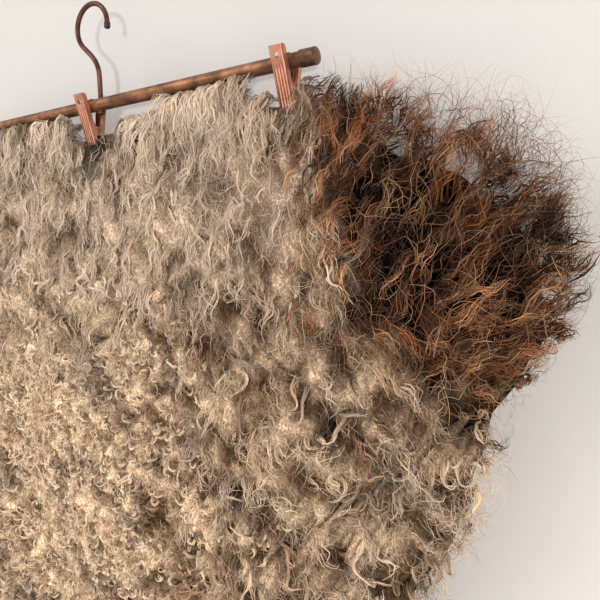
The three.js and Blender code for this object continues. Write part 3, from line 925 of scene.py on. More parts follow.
@dataclass(frozen=True)
class Growth:
    """Which kind of lock grows where, which way it lies and what colour it is.

    The fields are formulas on x and z in the rod's frame. The dark lobe is the part to the right of
    a curve that bends right as it goes down, and above its lower edge.
    """

    @staticmethod
    def lobe(x: Array, z: Array) -> Array:
        """Tell the dark lobe from the pale wool, with a ragged change between.

        Args:
            x: Places along the rod.
            z: Heights.

        Returns:
            1 in the dark lobe and 0 in the pale wool.
        """
        ragged = ripples(x, z, (0.012, 0.045, 3), (0.005, 0.014, 4))
        border = 0.195 + 0.98 * np.maximum(-z - 0.02, 0) ** 1.8
        return ease(x - border + ragged, -0.030, 0.042) * ease(z + 0.5 * ragged, -0.209, -0.183)

    def weights(self, x: Array, z: Array) -> dict[Lock, Array]:
        """Share out the wool between the kinds of lock.

        Pearls lie low on the left, hanging locks at the top and swept ones in the dark lobe. The
        others fill the rest, with fewer curled ones where the wool is matted.

        Args:
            x: Places along the rod.
            z: Heights.

        Returns:
            Each kind's share of the locks at these places.
        """
        swept = self.lobe(x, z)
        noise = 0.03 * ripples(x, z, (1, 0.07, 8))
        pearl = ease(-z + noise, 0.14, 0.21) * (1 - ease(x + noise, 0.06, 0.12))
        pearl = pearl * (1 - ease(-z, 0.62, 0.75)) * (1 - swept)
        hanging = (1 - ease(-z + noise, 0.12, 0.19)) * (1 - swept) * (1 - pearl)
        rest = np.clip(1 - swept - pearl - hanging, 0, 1)
        matted = ease(x, 0.13, 0.19) * (1 - ease(-z, 0.19, 0.24))
        return {
            Lock.HANGING: 0.94 * hanging,
            Lock.FRIZZY: rest * (0.48 + 0.37 * matted),
            Lock.CURLED: rest * (0.52 - 0.37 * matted) + 0.06 * hanging,
            Lock.PEARL: pearl,
            Lock.SWEPT: swept,
        }

    @staticmethod
    def grip(x: Array, z: Array) -> Array:
        """Return 1 where the middle clip holds dark felt and 0 away from it."""
        return 1 - ease(np.hypot(x + 0.002, 0.8 * (z + 0.040)), 0.010, 0.017)

    @staticmethod
    def airy(x: Array, z: Array) -> Array:
        """Return 1 where the dark lobe thins out to loose hair and 0 where the wool is full."""
        top = ease(x, 0.235, 0.285) * ease(z, -0.16, -0.08)
        return np.maximum(top, 0.5 * ease(x, 0.29, 0.33) * ease(z, -0.14, -0.10))

    @staticmethod
    def notch(x: Array, z: Array) -> Array:
        """Return 1 in the dip under the dark lobe and 0 away from it."""
        return ease(x, 0.25, 0.29) * np.exp(-(((z + 0.213) / 0.017) ** 2))

    @staticmethod
    def seen_close(x: Array, z: Array, least: float = 0.0) -> Array:
        """Return 1 in the upper right, which is seen from close by, and the least elsewhere."""
        return least + (1 - least) * ease(x, -0.205, -0.17) * ease(z - 0.2 * x, -0.466, -0.416)

    def heading(self, x: Array, z: Array, lot: Array) -> Array:
        """Return the way the locks lie, in radians up from +x.

        Locks hang down and swing outwards with the distance from the middle. In the dark lobe they
        point away from the lobe's root, all at its far side and fewer at its near side, by lot.

        Args:
            x: Places along the rod.
            z: Heights.
            lot: A number from 0 to 1 for each lock.

        Returns:
            The heading at each place.
        """
        outward = np.sign(x) * 48 * ease(np.abs(x), 0.07, 0.2) * ease(-z, 0.07, 0.2)
        down = np.radians(-90 + outward)
        fan = np.arctan2(z + 0.27, x - 0.11)
        side = self.lobe(x, z)
        back = blend(down, fan - math.pi, ease(z, -0.17, -0.10) * side)
        away = lot < side * ease(x, 0.215, 0.29)
        return np.where(away, fan, back) + ripples(x, z, (0.22, 0.05, 5))

    def colours(self, x: Array, z: Array, along: Array, lucky: Array, lit: Array) -> Array:
        """Return wool colours.

        Args:
            x: Places along the rod.
            z: Heights.
            along: Share of the way from root to tip.
            lucky: A number from 0 to 1 for each lock, which picks the odd pale or rusty one.
            lit: How near the surface the lock lies, from 0 to 1; deeper wool gets more painted
                shade.

        Returns:
            Linear colours, one row per place.
        """
        wool = {sort: sort.value.along(along) for sort in WoolColour}
        lobe = ease(self.lobe(x, z) + 0.7 * (lucky - 0.5), 0.35, 0.65)
        pale = self.pale_wool(wool, x, z, lucky)
        dark = self.dark_wool(wool, x, z, lucky)
        # painted shade: wool that lies deep darkens towards gloom, less at the top and the low
        # left, more in the dark lobe
        low_left = (1 - ease(x, 0.08, 0.18)) * ease(-z, 0.14, 0.21)
        gloom = 0.40 + 0.20 * ease(z, -0.17, -0.07) + 0.26 * low_left - 0.24 * lobe
        shade = blend(gloom, 1.15, ease(lit, 0.0, 0.8))[..., None]
        return np.maximum(blend(pale, dark, lobe[..., None]), 0) * shade

    def pale_wool(
        self, wool: dict[WoolColour, Array], x: Array, z: Array, lucky: Array
    ) -> Array:
        """Mix the pale wool: cream above and honey below, with grey patches and brown stains.

        Clouds of noise dim and brighten it, and by the middle and left clips it is felt.

        Args:
            wool: Each sort's colour at these places.
            x: Places along the rod.
            z: Heights.
            lucky: A number from 0 to 1 for each lock.

        Returns:
            Linear colours, one row per place.
        """
        patches = ease(ripples(x, z, (1, 0.085, 11), (0.5, 0.03, 12)), 0.3, 1.7)
        near_lobe = ease(x, 0.12, 0.2) * (1 - ease(-z, 0.2, 0.26))
        near_lobe = near_lobe * (0.75 + 0.25 * ease(-z, 0.02, 0.06))
        grey = np.clip(0.75 * patches + 0.15 * near_lobe + 0.35 * (lucky < 0.12), 0, 1)
        honey = ease(-z + ripples(x, z, (0.02, 0.06, 15)), 0.06, 0.22)
        stains = ease(ripples(x, z, (1, 0.055, 16), (0.5, 0.022, 17)), 0.55, 1.5)
        stains = stains * ease(x - 0.3 * z, 0.04, 0.13) * ease(-z, 0.09, 0.18)
        stains = stains + 0.8 * near_lobe * (lucky > 0.4)
        brown = blend(
            wool[WoolColour.BROWN], wool[WoolColour.TAN], 0.5 + 0.5 * (lucky > 0.45)[..., None]
        )
        pale = blend(wool[WoolColour.CREAM], wool[WoolColour.HONEY], honey[..., None])
        pale = blend(pale, wool[WoolColour.GREY], grey[..., None])
        pale = blend(pale, brown, 0.85 * np.clip(stains, 0, 1)[..., None])
        clouds = ripples(x, z, (0.30, 0.036, 21), (0.12, 0.013, 23), (0.06, 0.1, 22))
        pearl = self.weights(x, z)[Lock.PEARL]
        clouds = clouds * (1 + 0.6 * ease(x, 0.0, 0.08) * ease(-z, 0.10, 0.16) - 0.45 * pearl)
        clouds = np.clip(1.5 * clouds + 0.13, -0.78, 0.32)
        pale = pale * (1 + np.multiply.outer(clouds, [0.94, 1.0, 1.06]))
        corner = (1 - ease(x, -0.128, -0.098)) * ease(z, -0.075, -0.035) * ease(x, -0.19, -0.16)
        felt = np.maximum(0.9 * self.grip(x, z), 0.75 * corner)
        return blend(pale, wool[WoolColour.FELT], felt[..., None])

    @staticmethod
    def dark_wool(wool: dict[WoolColour, Array], x: Array, z: Array, lucky: Array) -> Array:
        """Mix the dark lobe's wool: brown locks, with tan and rusty ones by lot and by noise.

        Bands of noise dim and brighten it, and it is dimmer at the lobe's right.

        Args:
            wool: Each sort's colour at these places.
            x: Places along the rod.
            z: Heights.
            lucky: A number from 0 to 1 for each lock.

        Returns:
            Linear colours, one row per place.
        """
        drawn = lucky + ripples(x, z, (0.16, 0.05, 14)) + 0.14 * ease(-z, 0.13, 0.17)
        tan = ease(drawn, 0.50, 0.58)[..., None]
        rusty = ease(drawn + 0.08 * ease(-z, 0.12, 0.19), 0.92, 0.98)[..., None]
        dark = blend(wool[WoolColour.BROWN], wool[WoolColour.TAN], tan)
        dark = blend(dark, wool[WoolColour.RUST], rusty)
        bands = ripples(x, z, (0.26, 0.030, 24), (0.16, 0.012, 25))
        right = ease(x, 0.25, 0.34) * (1 - ease(z, -0.12, -0.06))
        dusk = 1.02 - 0.52 * right * (1 - 0.8 * ease(-z, 0.13, 0.17))
        return dark * (dusk * np.clip(0.98 + bands, 0.3, 1.5))[..., None] * [1.06, 0.97, 0.88]


@dataclass(frozen=True)
class ClipPlace:
    """Where a clip stands on the rod, and the room its travel needs in the wool.

    Attributes:
        side: Its name.
        x: Its middle.
        low: Left end of its room.
        high: Right end of its room.
    """

    side: str
    x: float
    low: float
    high: float


CLIPS = (
    ClipPlace("left", -0.182, -0.19345, -0.16055),
    ClipPlace("middle", -0.011, -0.03245, 0.026),
    ClipPlace("right", 0.182, 0.16055, 0.19345),
)


@dataclass(frozen=True)
class Coat:
    """Strands that are ready to be made into meshes.

    Attributes:
        paths: Centrelines, shaped (strands, steps, 3).
        half: Half width of each strand at its widest.
        flat: Depth of each strand as a share of its width.
        tint: Colour at each step, shaped (strands, steps, 3).
    """

    paths: Array
    half: Array
    flat: Array
    tint: Array

    def some(self, rows: Array) -> "Coat":
        """Return the strands in these rows."""
        return Coat(self.paths[rows], self.half[rows], self.flat[rows], self.tint[rows])

    def mesh(self) -> tuple[Array, list[Array], Array, Array]:
        """Give the strands their thickness.

        A strand is half * (0.6 + 0.4 ease(s)) wide from its root, and from its middle it narrows
        to a seventh at its tip.

        Returns:
            Vertices, faces, streak coordinates and vertex colours.
        """
        s = np.linspace(0, 1, self.paths.shape[1])[None]
        widths = self.half[:, None] * (0.6 + 0.4 * ease(s, 0, 0.3)) * (1 - 0.86 * ease(s, 0.4, 1.0))
        points, faces, flow = strands(self.paths, widths, widths * self.flat[:, None])
        return points, faces, flow, np.repeat(self.tint.reshape(-1, 3), SIDES, 0)


@dataclass
class Fleece:
    """The felted back and the wool on it.

    Attributes:
        pelt: Outline and hang.
        growth: Kinds, headings and colours of the locks.
        draw: Where every random number comes from, in turn.
        backing_inset: How far the felted back ends inside the wool's outline.
        backing_top: Height of its gripped edge under the rod's axis.
        cell: Distance between the places where a lock may grow.
        sparse: Share of the locks that grow where nothing is seen close.
        fuzz: Loose hairs on a square metre of wool.
        matted_top: Height of the matted wool's top edge under the rod's axis.
    """

    pelt: Pelt = Pelt()
    growth: Growth = Growth()
    draw: np.random.Generator = field(default_factory=lambda: np.random.default_rng(20))
    backing_inset: float = 0.026
    backing_top: float = 0.0255
    cell: float = 0.0045
    sparse: float = 0.12
    fuzz: float = 37_500
    matted_top: float = 0.0135

    # The room that the strands leave free at the rod and at the clips
    ROD_ROOM = 0.0062  # radius about the rod's axis
    JAW_ROOM = 0.0062  # half the width of a clip at rest
    JAW_FOOT = -0.0312  # height of the clips' lower ends
    JAW_FRONT = -0.0165  # y of the clips' front faces

    def rings(self, reach: Array, rings: int, bias: float) -> tuple[Array, Array, Array]:
        """Lay rings of points about the centre, x = share * reach * cos(angle) and z alike.

        Args:
            reach: Distance from the centre to the last ring at evenly spaced angles.
            rings: Number of rings.
            bias: Power of the ring's number; below 1 the rings crowd towards the edge.

        Returns:
            The rings' shares in a column, x and z.
        """
        angle = np.linspace(0, TAU, len(reach), endpoint=False)
        share = (np.linspace(0, 1, rings + 1)[1:] ** bias)[:, None]
        rise = share * np.sin(angle) * reach
        return share, share * np.cos(angle) * reach, self.pelt.centre_z + rise

    def cut_straight(self, reach: Array, height: float) -> Array:
        """Hold a reach at evenly spaced angles under a straight top edge.

        Args:
            reach: Distances from the centre.
            height: Height of the top edge.

        Returns:
            The distances, shorter where they would pass the edge.
        """
        rise = np.sin(np.linspace(0, TAU, len(reach), endpoint=False))
        straight = (height - self.pelt.centre_z) / np.maximum(rise, 1e-3)
        return np.minimum(reach, np.where(rise > 0.2, straight, 10.0))

    # The felted back

    def build_backing(self, rings: int = 36, spokes: int = 180) -> bpy.types.Object:
        """Make the felted back as a closed sheet.

        Its two faces stand half the thickness each side of the hanging surface, with lumps of
        matting at the back, and meet in a rounded edge.

        Args:
            rings: Rings from the centre to the edge.
            spokes: Points round a ring.

        Returns:
            The piece.
        """
        angle = np.linspace(0, TAU, spokes, endpoint=False)
        wobble = 0.0012 * np.sin(31 * angle) + 0.0008 * np.sin(73 * angle + 1)
        edge = self.pelt.reach(angle) - self.backing_inset
        spots = self.pelt.spot(angle, edge)
        reach = edge + wobble - 0.016 * self.growth.airy(*spots) - 0.010 * self.growth.notch(*spots)
        share, x, z = self.rings(self.cut_straight(reach, -self.backing_top), rings, 0.8)
        middle = self.pelt.hang(x, z)
        round_off = np.sqrt(1 - np.clip((share - 0.985) / 0.0152, 0, 0.995) ** 2)
        lumps = ripples(x, z, (0.0004, 0.02, 31), (0.00025, 0.007, 32))
        half = 0.5 * self.pelt.backing * round_off
        front = np.stack([x, middle - half, z], -1)
        back = np.stack([x, middle + half + lumps * round_off, z], -1)
        points, faces = closed_disc(front, back)
        return mesh_piece("felted_back", points + ROD_CENTRE, faces)

    # The wool

    def build_underlayer(self, rings: int = 104, spokes: int = 330) -> bpy.types.Object:
        """Make the matted wool under the locks as one closed body.

        Its front lies at a share of the wool's depth over the felt, raised and sunk by noise of
        two sizes; its back lies on the felt, and past the felt's edge it thins to its rim.

        Args:
            rings: Rings from the centre to the edge.
            spokes: Points round a ring.

        Returns:
            The piece.
        """
        pelt, growth = self.pelt, self.growth
        angle = np.linspace(0, TAU, spokes, endpoint=False)
        ragged = 0.99 + 0.006 * np.sin(41 * angle) + 0.004 * np.sin(97 * angle + 2)
        edge = pelt.reach(angle) * ragged - 0.014
        spots = pelt.spot(angle, edge)
        shoulder = ease(spots[0], 0.18, 0.21) * (np.sin(angle) > 0)
        reach = edge - 0.016 * growth.airy(*spots) - 0.005 * shoulder - 0.010 * growth.notch(*spots)
        share, x, z = self.rings(self.cut_straight(reach, -self.matted_top), rings, 0.9)
        lobe, pearl = growth.lobe(x, z), growth.weights(x, z)[Lock.PEARL]
        lumps = ripples(x, z, (0.07, 0.03, 41), (0.05 + 0.02 * pearl, 0.012, 42))
        full = 0.76 - growth.seen_close(x, z) * (0.18 + 0.09 * lobe - 0.07 * pearl)
        deep = pelt.depth(share) * np.clip(full + lumps, 0.2, 0.9)
        room, gap, sill = np.ones_like(x), 0.007, -0.0355  # beside and under the openings
        for clip in CLIPS:
            beside = np.maximum(clip.low - x, x - clip.high) - gap
            room = np.minimum(room, ease(np.maximum(beside, sill - z), 0.0, 0.006))
        deep = deep * room * np.sqrt(np.clip(1 - share**24, 0, 1))
        base = pelt.hang(x, z) - pelt.backing / 2 - 0.0003
        front = base - np.maximum(deep, 0.0004)
        # painted shade: the lower the matted wool lies, the darker its colour
        lit = np.clip(deep / pelt.pile, 0, 1)
        tint = growth.colours(x, z, 0.1 + 0.4 * lit, np.full_like(x, 0.3), 0.2 + 0.6 * lit)
        # painted shade under the locks, darker still in the dark lobe and less at the middle clip's
        # felt
        tint = tint * (0.62 + 0.20 * pearl - 0.36 * lobe + 0.3 * growth.grip(x, z))[..., None]
        # painted shade in the hollows between lumps and in the dip under the dark lobe; the lumps'
        # tops are painted lighter
        hollows = np.clip(1 + 2.2 * lumps, 0.55, 1.35) * (1 - 0.8 * growth.notch(x, z))
        tint = tint * hollows[..., None]
        few = np.arange(rings - 1, 0, -5)[::-1]
        points, faces = closed_disc(
            np.stack([x, front, z], -1), np.stack([x, base, z], -1)[few]
        )
        centre = tint[0, :1]
        tints = np.concatenate([tint.reshape(-1, 3), tint[few].reshape(-1, 3), centre, centre])
        return mesh_piece("wool_underlayer", points + ROD_CENTRE, faces, tints)

    def roots(self) -> dict[Lock, tuple[Array, Array]]:
        """Lay out where locks grow: a square grid with each place moved at random within its cell.

        Each place draws its kind by the kinds' weights there. A kind's places are thinned to its
        patch, less so at the top edge and the rim, and more so where nothing is seen close. The
        clips' openings stay free.

        Returns:
            X and z of each kind's roots.
        """
        pelt, growth = self.pelt, self.growth
        across = np.arange(-pelt.half_width, pelt.half_width, self.cell)
        heights = np.arange(-pelt.top - pelt.height, -pelt.top, self.cell)
        x, z = (part.ravel() for part in np.meshgrid(across, heights))
        x = x + self.draw.uniform(-0.5, 0.5, len(x)) * self.cell
        z = z + self.draw.uniform(-0.5, 0.5, len(z)) * self.cell
        weights = growth.weights(x, z)
        shares = np.cumsum(np.stack(list(weights.values())), 0)
        drawn = (self.draw.uniform(0, 1, len(x)) * shares[-1] > shares).sum(0)
        inside = pelt.inside(x, z)
        near_edge = 1 + 1.2 * ease(z, -0.030, -0.016) + 1.6 * (1 - ease(inside, 0.020, 0.036))
        near = growth.seen_close(x, z, self.sparse)
        far_rim = 2.5 * (1 - near) * (1 - ease(inside, 0.020, 0.040))
        dense = self.cell**2 * near * (near_edge + far_rim)
        rim = 0.016 - 0.009 * ease(z, -0.06, -0.03) - 0.006 * growth.lobe(x, z)
        rim = rim + 0.012 * growth.airy(x, z) + 0.012 * growth.notch(x, z)
        free = self.grows_at(x, z, rim + 0.007 * weights[Lock.PEARL])
        grown = {}
        for number, kind in enumerate(weights):
            kept = self.draw.uniform(0, 1, len(x)) < dense / kind.value.patch
            kept &= free & (drawn == number)
            grown[kind] = (x[kept], z[kept])
        return grown

    def grows_at(self, x: Array, z: Array, rim: Array) -> Array:
        """Tell where wool grows: in the outline, under the top edge and off the clips' openings.

        Args:
            x: Places along the rod.
            z: Heights.
            rim: How far inside the outline the wool's roots end.

        Returns:
            Whether it grows at each place.
        """
        inside = (self.pelt.inside(x, z) > rim) & (z < -self.pelt.top - 0.0035)
        for clip in CLIPS:
            inside &= ~((x > clip.low) & (x < clip.high) & (z > -0.0315))
        return inside

    def guides(self, style: LockStyle, x: Array, z: Array, lifts: Array) -> Array:
        """Grow one guide line per lock by its heading and its pitch.

        The line starts deep in the wool, rises and lays itself over: heading(s) = field + wave *
        sin(2 pi s length / pitch + phase) + curl * winding(s), pitch(s) = up * exp(-s / settle) -
        droop. At the top edge up is over 90 degrees, so that the line arches over the edge. Its
        points are the running sums of the steps that these angles give.

        Args:
            style: The locks' style.
            x: Roots along the rod.
            z: Heights of the roots.
            lifts: How high each lock lies, as a share of the wool's depth.

        Returns:
            Points of the lines, shaped (locks, steps, 3).
        """
        draw, count = self.draw, len(x)
        length = style.length * draw.uniform(0.65, 1.25, count)
        s = np.linspace(0, 1, style.steps)[None]
        phase = (ripples(x, z, (2.4, 0.024, 26)) + draw.uniform(-0.9, 0.9, count))[:, None]
        right_handed = ripples(x, z, (1, 0.020, 27)) + draw.normal(0, 0.6, count) > 0
        hand = np.where(right_handed, 1.0, -1.0)
        curl = (np.radians(style.tip_curl) * draw.uniform(0.4, 1.2, count) * hand)[:, None]
        winding = np.clip((s - style.curl_from) / (1 - style.curl_from), 0, 1) ** 1.3
        wave = math.radians(style.wave) * draw.uniform(0.6, 1.2, count)[:, None]
        rate = (length / style.wave_pitch * draw.uniform(0.8, 1.3, count))[:, None]
        turns = TAU * s * rate + phase
        stray = math.radians(style.stray) * draw.normal(0, 1, count)
        lie = self.growth.heading(x, z, draw.uniform(0, 1, count))
        heading = (lie + stray)[:, None] + curl * winding
        heading = heading + wave * np.sin(turns) * ease(s, 0.0, 0.35)
        over_top = ease(z, -0.036, -0.018) * (1 - 0.6 * self.growth.lobe(x, z))
        depth = self.pelt.depth(self.pelt.share(x, z)) * lifts + 0.006 * ease(z, -0.0105, -0.008)
        rise = np.minimum(depth, 0.42 * length)
        settle = np.clip(rise / length / 1.2, 0.05, 0.4)[:, None]
        up = np.radians(80 + 90 * over_top * draw.uniform(0.5, 1.1, count))[:, None]
        droop = np.radians(draw.uniform(-8, 10, count))[:, None]
        pitch = up * np.exp(-s / settle) - droop * s
        pitch = pitch + 0.5 * wave * np.cos(turns) * ease(s, 0.1, 0.5)
        line = self.walk(heading, pitch, length)
        return line + self.foot(x, z, line, depth - rise)

    @staticmethod
    def walk(heading: Array, pitch: Array, length: Array) -> Array:
        """Sum the steps of lines that start at the origin.

        Each step is length / steps long and points along (cos p cos h, -sin p, cos p sin h).

        Args:
            heading: Direction in the fleece's surface, shaped (lines, steps).
            pitch: Rise out of the surface, shaped alike.
            length: Length of each line.

        Returns:
            Points of the lines, shaped (lines, steps, 3).
        """
        level = np.cos(pitch)
        moves = np.stack([level * np.cos(heading), -np.sin(pitch), level * np.sin(heading)], -1)
        moves = moves * (length / (heading.shape[1] - 1))[:, None, None]
        moves[:, 0] = 0
        return np.cumsum(moves, 1)

    def foot(self, x: Array, z: Array, line: Array, depth: Array) -> Array:
        """Find what moves lines from the origin to their roots and has them follow the felt.

        Args:
            x: Roots along the rod.
            z: Heights of the roots.
            line: Points of the lines, from the origin.
            depth: Height of each root over the felt.

        Returns:
            What each point moves by.
        """
        x, z = (np.broadcast_to(part[:, None], line.shape[:2]) for part in (x, z))
        hang = self.pelt.hang(line[..., 0] + x, line[..., 2] + z)
        return np.stack([x, hang - self.pelt.backing / 2 - depth[:, None], z], -1)

    def drift(
        self, x: Array, z: Array, depth: Array, aim: Array, length: Array, curl: Array, steps: int
    ) -> Array:
        """Grow loose hairs.

        A hair's heading turns evenly by its curl and sways by a sum of two slow sine waves, and
        its pitch sways alike.

        Args:
            x: Roots along the rod.
            z: Heights of the roots.
            depth: Height of each root over the felt.
            aim: Heading at the root.
            length: Length of each hair.
            curl: How far each hair turns from root to tip.
            steps: Points along a hair.

        Returns:
            Points of the hairs, shaped (hairs, steps, 3).
        """
        draw, count = self.draw, len(x)
        s = np.linspace(0, 1, steps)[None]
        rates = draw.uniform(0.5, 1.7, (count, 2, 2, 1))
        phases = draw.uniform(0, TAU, (count, 2, 2, 1))
        sway = np.sin(TAU * rates * s[:, None, None] + phases).sum(2)
        heading = aim[:, None] + curl[:, None] * s + 0.35 * sway[:, 0]
        pitch = 0.4 * sway[:, 1] + draw.normal(0.1, 0.25, count)[:, None] * (1 - s)
        hair = self.walk(heading, pitch, length)
        return hair + self.foot(x, z, hair, depth)

    def spread(self, style: LockStyle, lines: Array, owner: Array, sizes: Array) -> Array:
        """Lay strands round the guide lines.

        A strand follows its line for a length of its own. It keeps an offset from the line that
        turns with the lock's twist and closes towards the tip, and strays by a sum of two slow sine
        waves of its own.

        Args:
            style: The locks' style.
            lines: Guide lines, shaped (locks, steps, 3).
            owner: The lock that each strand belongs to.
            sizes: Each lock's thickness, as a share of its style's.

        Returns:
            Centrelines, shaped (strands, steps, 3).
        """
        draw, total = self.draw, len(owner)
        s = np.linspace(0, 1, style.steps)[None]
        across, up = square_to(lines)
        at = s * draw.uniform(0.72, 1.0, total)[:, None] * (style.steps - 1)
        low = np.minimum(at.astype(int), style.steps - 2)
        mine, part = owner[:, None], (at - low)[..., None]
        centre = blend(lines[mine, low], lines[mine, low + 1], part)
        distance = np.sqrt(draw.uniform(0, 1, total)) * style.width * sizes[owner]
        twist = draw.uniform(-0.9, 0.9, len(lines))[owner]
        turn = draw.uniform(0, TAU, total)[:, None] + twist[:, None] * s * TAU
        swing = distance[:, None] * (1 - style.closing * ease(s, 0.0, 0.9))
        paths = centre + (swing * np.cos(turn))[..., None] * across[mine, low]
        paths = paths + (0.55 * swing * np.sin(turn))[..., None] * up[mine, low]
        rates = draw.uniform(0.9, 2.6, (total, 2, 1, 3))
        phases = draw.uniform(0, TAU, (total, 2, 1, 3))
        waves = np.sin(TAU * rates * s[0][None, None, :, None] + phases).sum(1)
        return paths + 0.5 * style.frizz * (0.3 + s)[..., None] * waves

    def shortened(self, lines: Array, room: Array) -> Array:
        """Draw lines that pass the outline back towards their roots.

        A point p becomes root + f (p - root), where f = 1 - over / run, over is how far the line's
        furthest point passes the outline and its room, and run is how far it reaches outwards.

        Args:
            lines: Lines, shaped (lines, steps, 3).
            room: How far each line may pass the outline.

        Returns:
            The lines, none of them much past its room.
        """
        for _ in range(3):
            x, rise = lines[..., 0], lines[..., 2] - self.pelt.centre_z
            far = np.hypot(x, rise)
            over = np.maximum((far - self.pelt.reach(np.arctan2(rise, x))).max(1) - room, 0)
            run = np.maximum(far.max(1) - far[:, 0], 1e-3)
            factor = np.clip(1 - over / run, 0.3, 1)[:, None, None]
            lines = lines[:, :1] + factor * (lines - lines[:, :1])
        return lines

    def off_the_felt(self, paths: Array) -> Array:
        """Hold points in front of the felt and within the wool's depth.

        A point deeper than the limit comes to limit + give * tanh(past / give).

        Args:
            paths: Points.

        Returns:
            The points, moved along y.
        """
        x, y, z = np.moveaxis(paths, -1, 0)
        floor = self.pelt.hang(x, z) - self.pelt.backing / 2 - 0.0004
        depth = floor - y
        limit, give = self.pelt.pile - 0.002, 0.008
        depth = np.where(depth > limit, limit + give * np.tanh((depth - limit) / give), depth)
        depth = np.where(self.pelt.share(x, z) < 0.96, np.maximum(depth, 0.0), depth)
        return np.stack([x, floor - depth, z], -1)

    def grow(self, kind: Lock, x: Array, z: Array, room: tuple[float, float]) -> Coat:
        """Grow whole locks from their roots.

        Args:
            kind: The locks' kind.
            x: Roots along the rod.
            z: Heights of the roots.
            room: Least and most that a lock may pass the outline.

        Returns:
            Their strands.
        """
        draw, growth, style, count = self.draw, self.growth, kind.value, len(x)
        raised = draw.uniform(0.15, 0.85, count) + ripples(x, z, (0.30, 0.024, 28))
        lifts = style.lowest + (style.highest - style.lowest) * np.clip(raised, 0, 1)
        if kind is Lock.PEARL:
            lifts = lifts * (0.15 + 0.85 * ease(self.pelt.inside(x, z), 0.020, 0.065))
        lucky = draw.uniform(0, 1, count)
        sizes = draw.uniform(0.6, 1.25, count)
        lines = self.guides(style, x, z, lifts)
        lobe = growth.lobe(x, z)
        reserve = draw.uniform(*room, count) * (1 + lobe)
        reserve = reserve - 0.018 * growth.airy(x, z) - 0.024 * growth.notch(x, z)
        lines = self.shortened(lines, reserve)
        broad, fine = (np.repeat(np.arange(count), each) for each in (style.strips, style.hairs))
        owner = np.concatenate([broad, fine])
        thick = np.arange(len(owner)) < len(broad)
        paths = self.off_the_felt(self.spread(style, lines, owner, sizes))
        half = np.where(thick, style.strip * sizes[owner], style.hair)
        half = half * draw.uniform(0.6, 1.2, len(owner)) * self.thickening(x, z)[owner]
        s = np.linspace(0, 1, style.steps)[None]
        lit = np.clip((lifts[owner][:, None] - 0.5) * 1.6 + 0.4 * s, 0, 1)
        root_x, root_z, luck = (part[owner][:, None] for part in (x, z, lucky))
        tint = growth.colours(root_x, root_z, s, luck, lit)
        by_lock, by_strand = draw.normal(0, 1, count)[owner], draw.normal(0, 1, len(owner))
        shade = np.exp((1 + 2.2 * lobe)[owner] * (0.10 * by_lock + 0.07 * by_strand))
        return Coat(paths, half, np.where(thick, 0.4, 1.0), held(tint * shade[:, None, None]))

    def thickening(self, x: Array, z: Array) -> Array:
        """Return how much thicker strands are where fewer of them stand."""
        return 2.3 - 1.3 * self.growth.seen_close(x, z)

    def loose_hairs(self) -> Coat:
        """Scatter fine hairs over the wool, curlier and shorter where the small curls are.

        Returns:
            Their strands.
        """
        draw, growth, pelt = self.draw, self.growth, self.pelt
        scattered = int(self.fuzz * 2 * pelt.half_width * pelt.height)
        x = draw.uniform(-pelt.half_width, pelt.half_width, scattered)
        z = -pelt.top - draw.uniform(0, pelt.height, scattered)
        keep = self.grows_at(x, z, 0.006 + 0.018 * growth.notch(x, z))
        keep &= draw.uniform(0, 1, scattered) < growth.seen_close(x, z, self.sparse)
        x, z = x[keep], z[keep]
        count, pearl, lobe = len(x), growth.weights(x, z)[Lock.PEARL], growth.lobe(x, z)
        length = draw.uniform(0.010, 0.024, count) * (1 - 0.35 * pearl + 0.9 * lobe)
        curl = draw.normal(0, 1, count) * (1.4 + 3.0 * pearl + 0.4 * lobe)
        share = draw.uniform(0.5, 1.1, count)
        depth = pelt.depth(pelt.share(x, z)) * share
        aim = growth.heading(x, z, draw.uniform(0, 1, count))
        aim = aim + draw.normal(0, 0.5, count) * (1 + pearl - 0.4 * lobe)
        hairs = self.drift(x, z, depth, aim, length, curl, 6)
        room = draw.uniform(0.0, 0.012, count) * (1 + lobe) - 0.016 * growth.notch(x, z)
        hairs = self.shortened(hairs, room)
        half = draw.uniform(0.00012, 0.00021, count) * self.thickening(x, z)
        s = 0.35 + 0.65 * np.linspace(0, 1, 6)[None]
        luck = draw.uniform(0, 1, count) ** 0.7
        lit = 1.4 * share - 0.5
        tint = growth.colours(*(part[:, None] for part in (x, z)), s, luck[:, None], lit[:, None])
        tint = held(tint * draw.uniform(0.85, 1.2, count)[:, None, None])
        return Coat(self.off_the_felt(hairs), half, np.ones(count), tint)

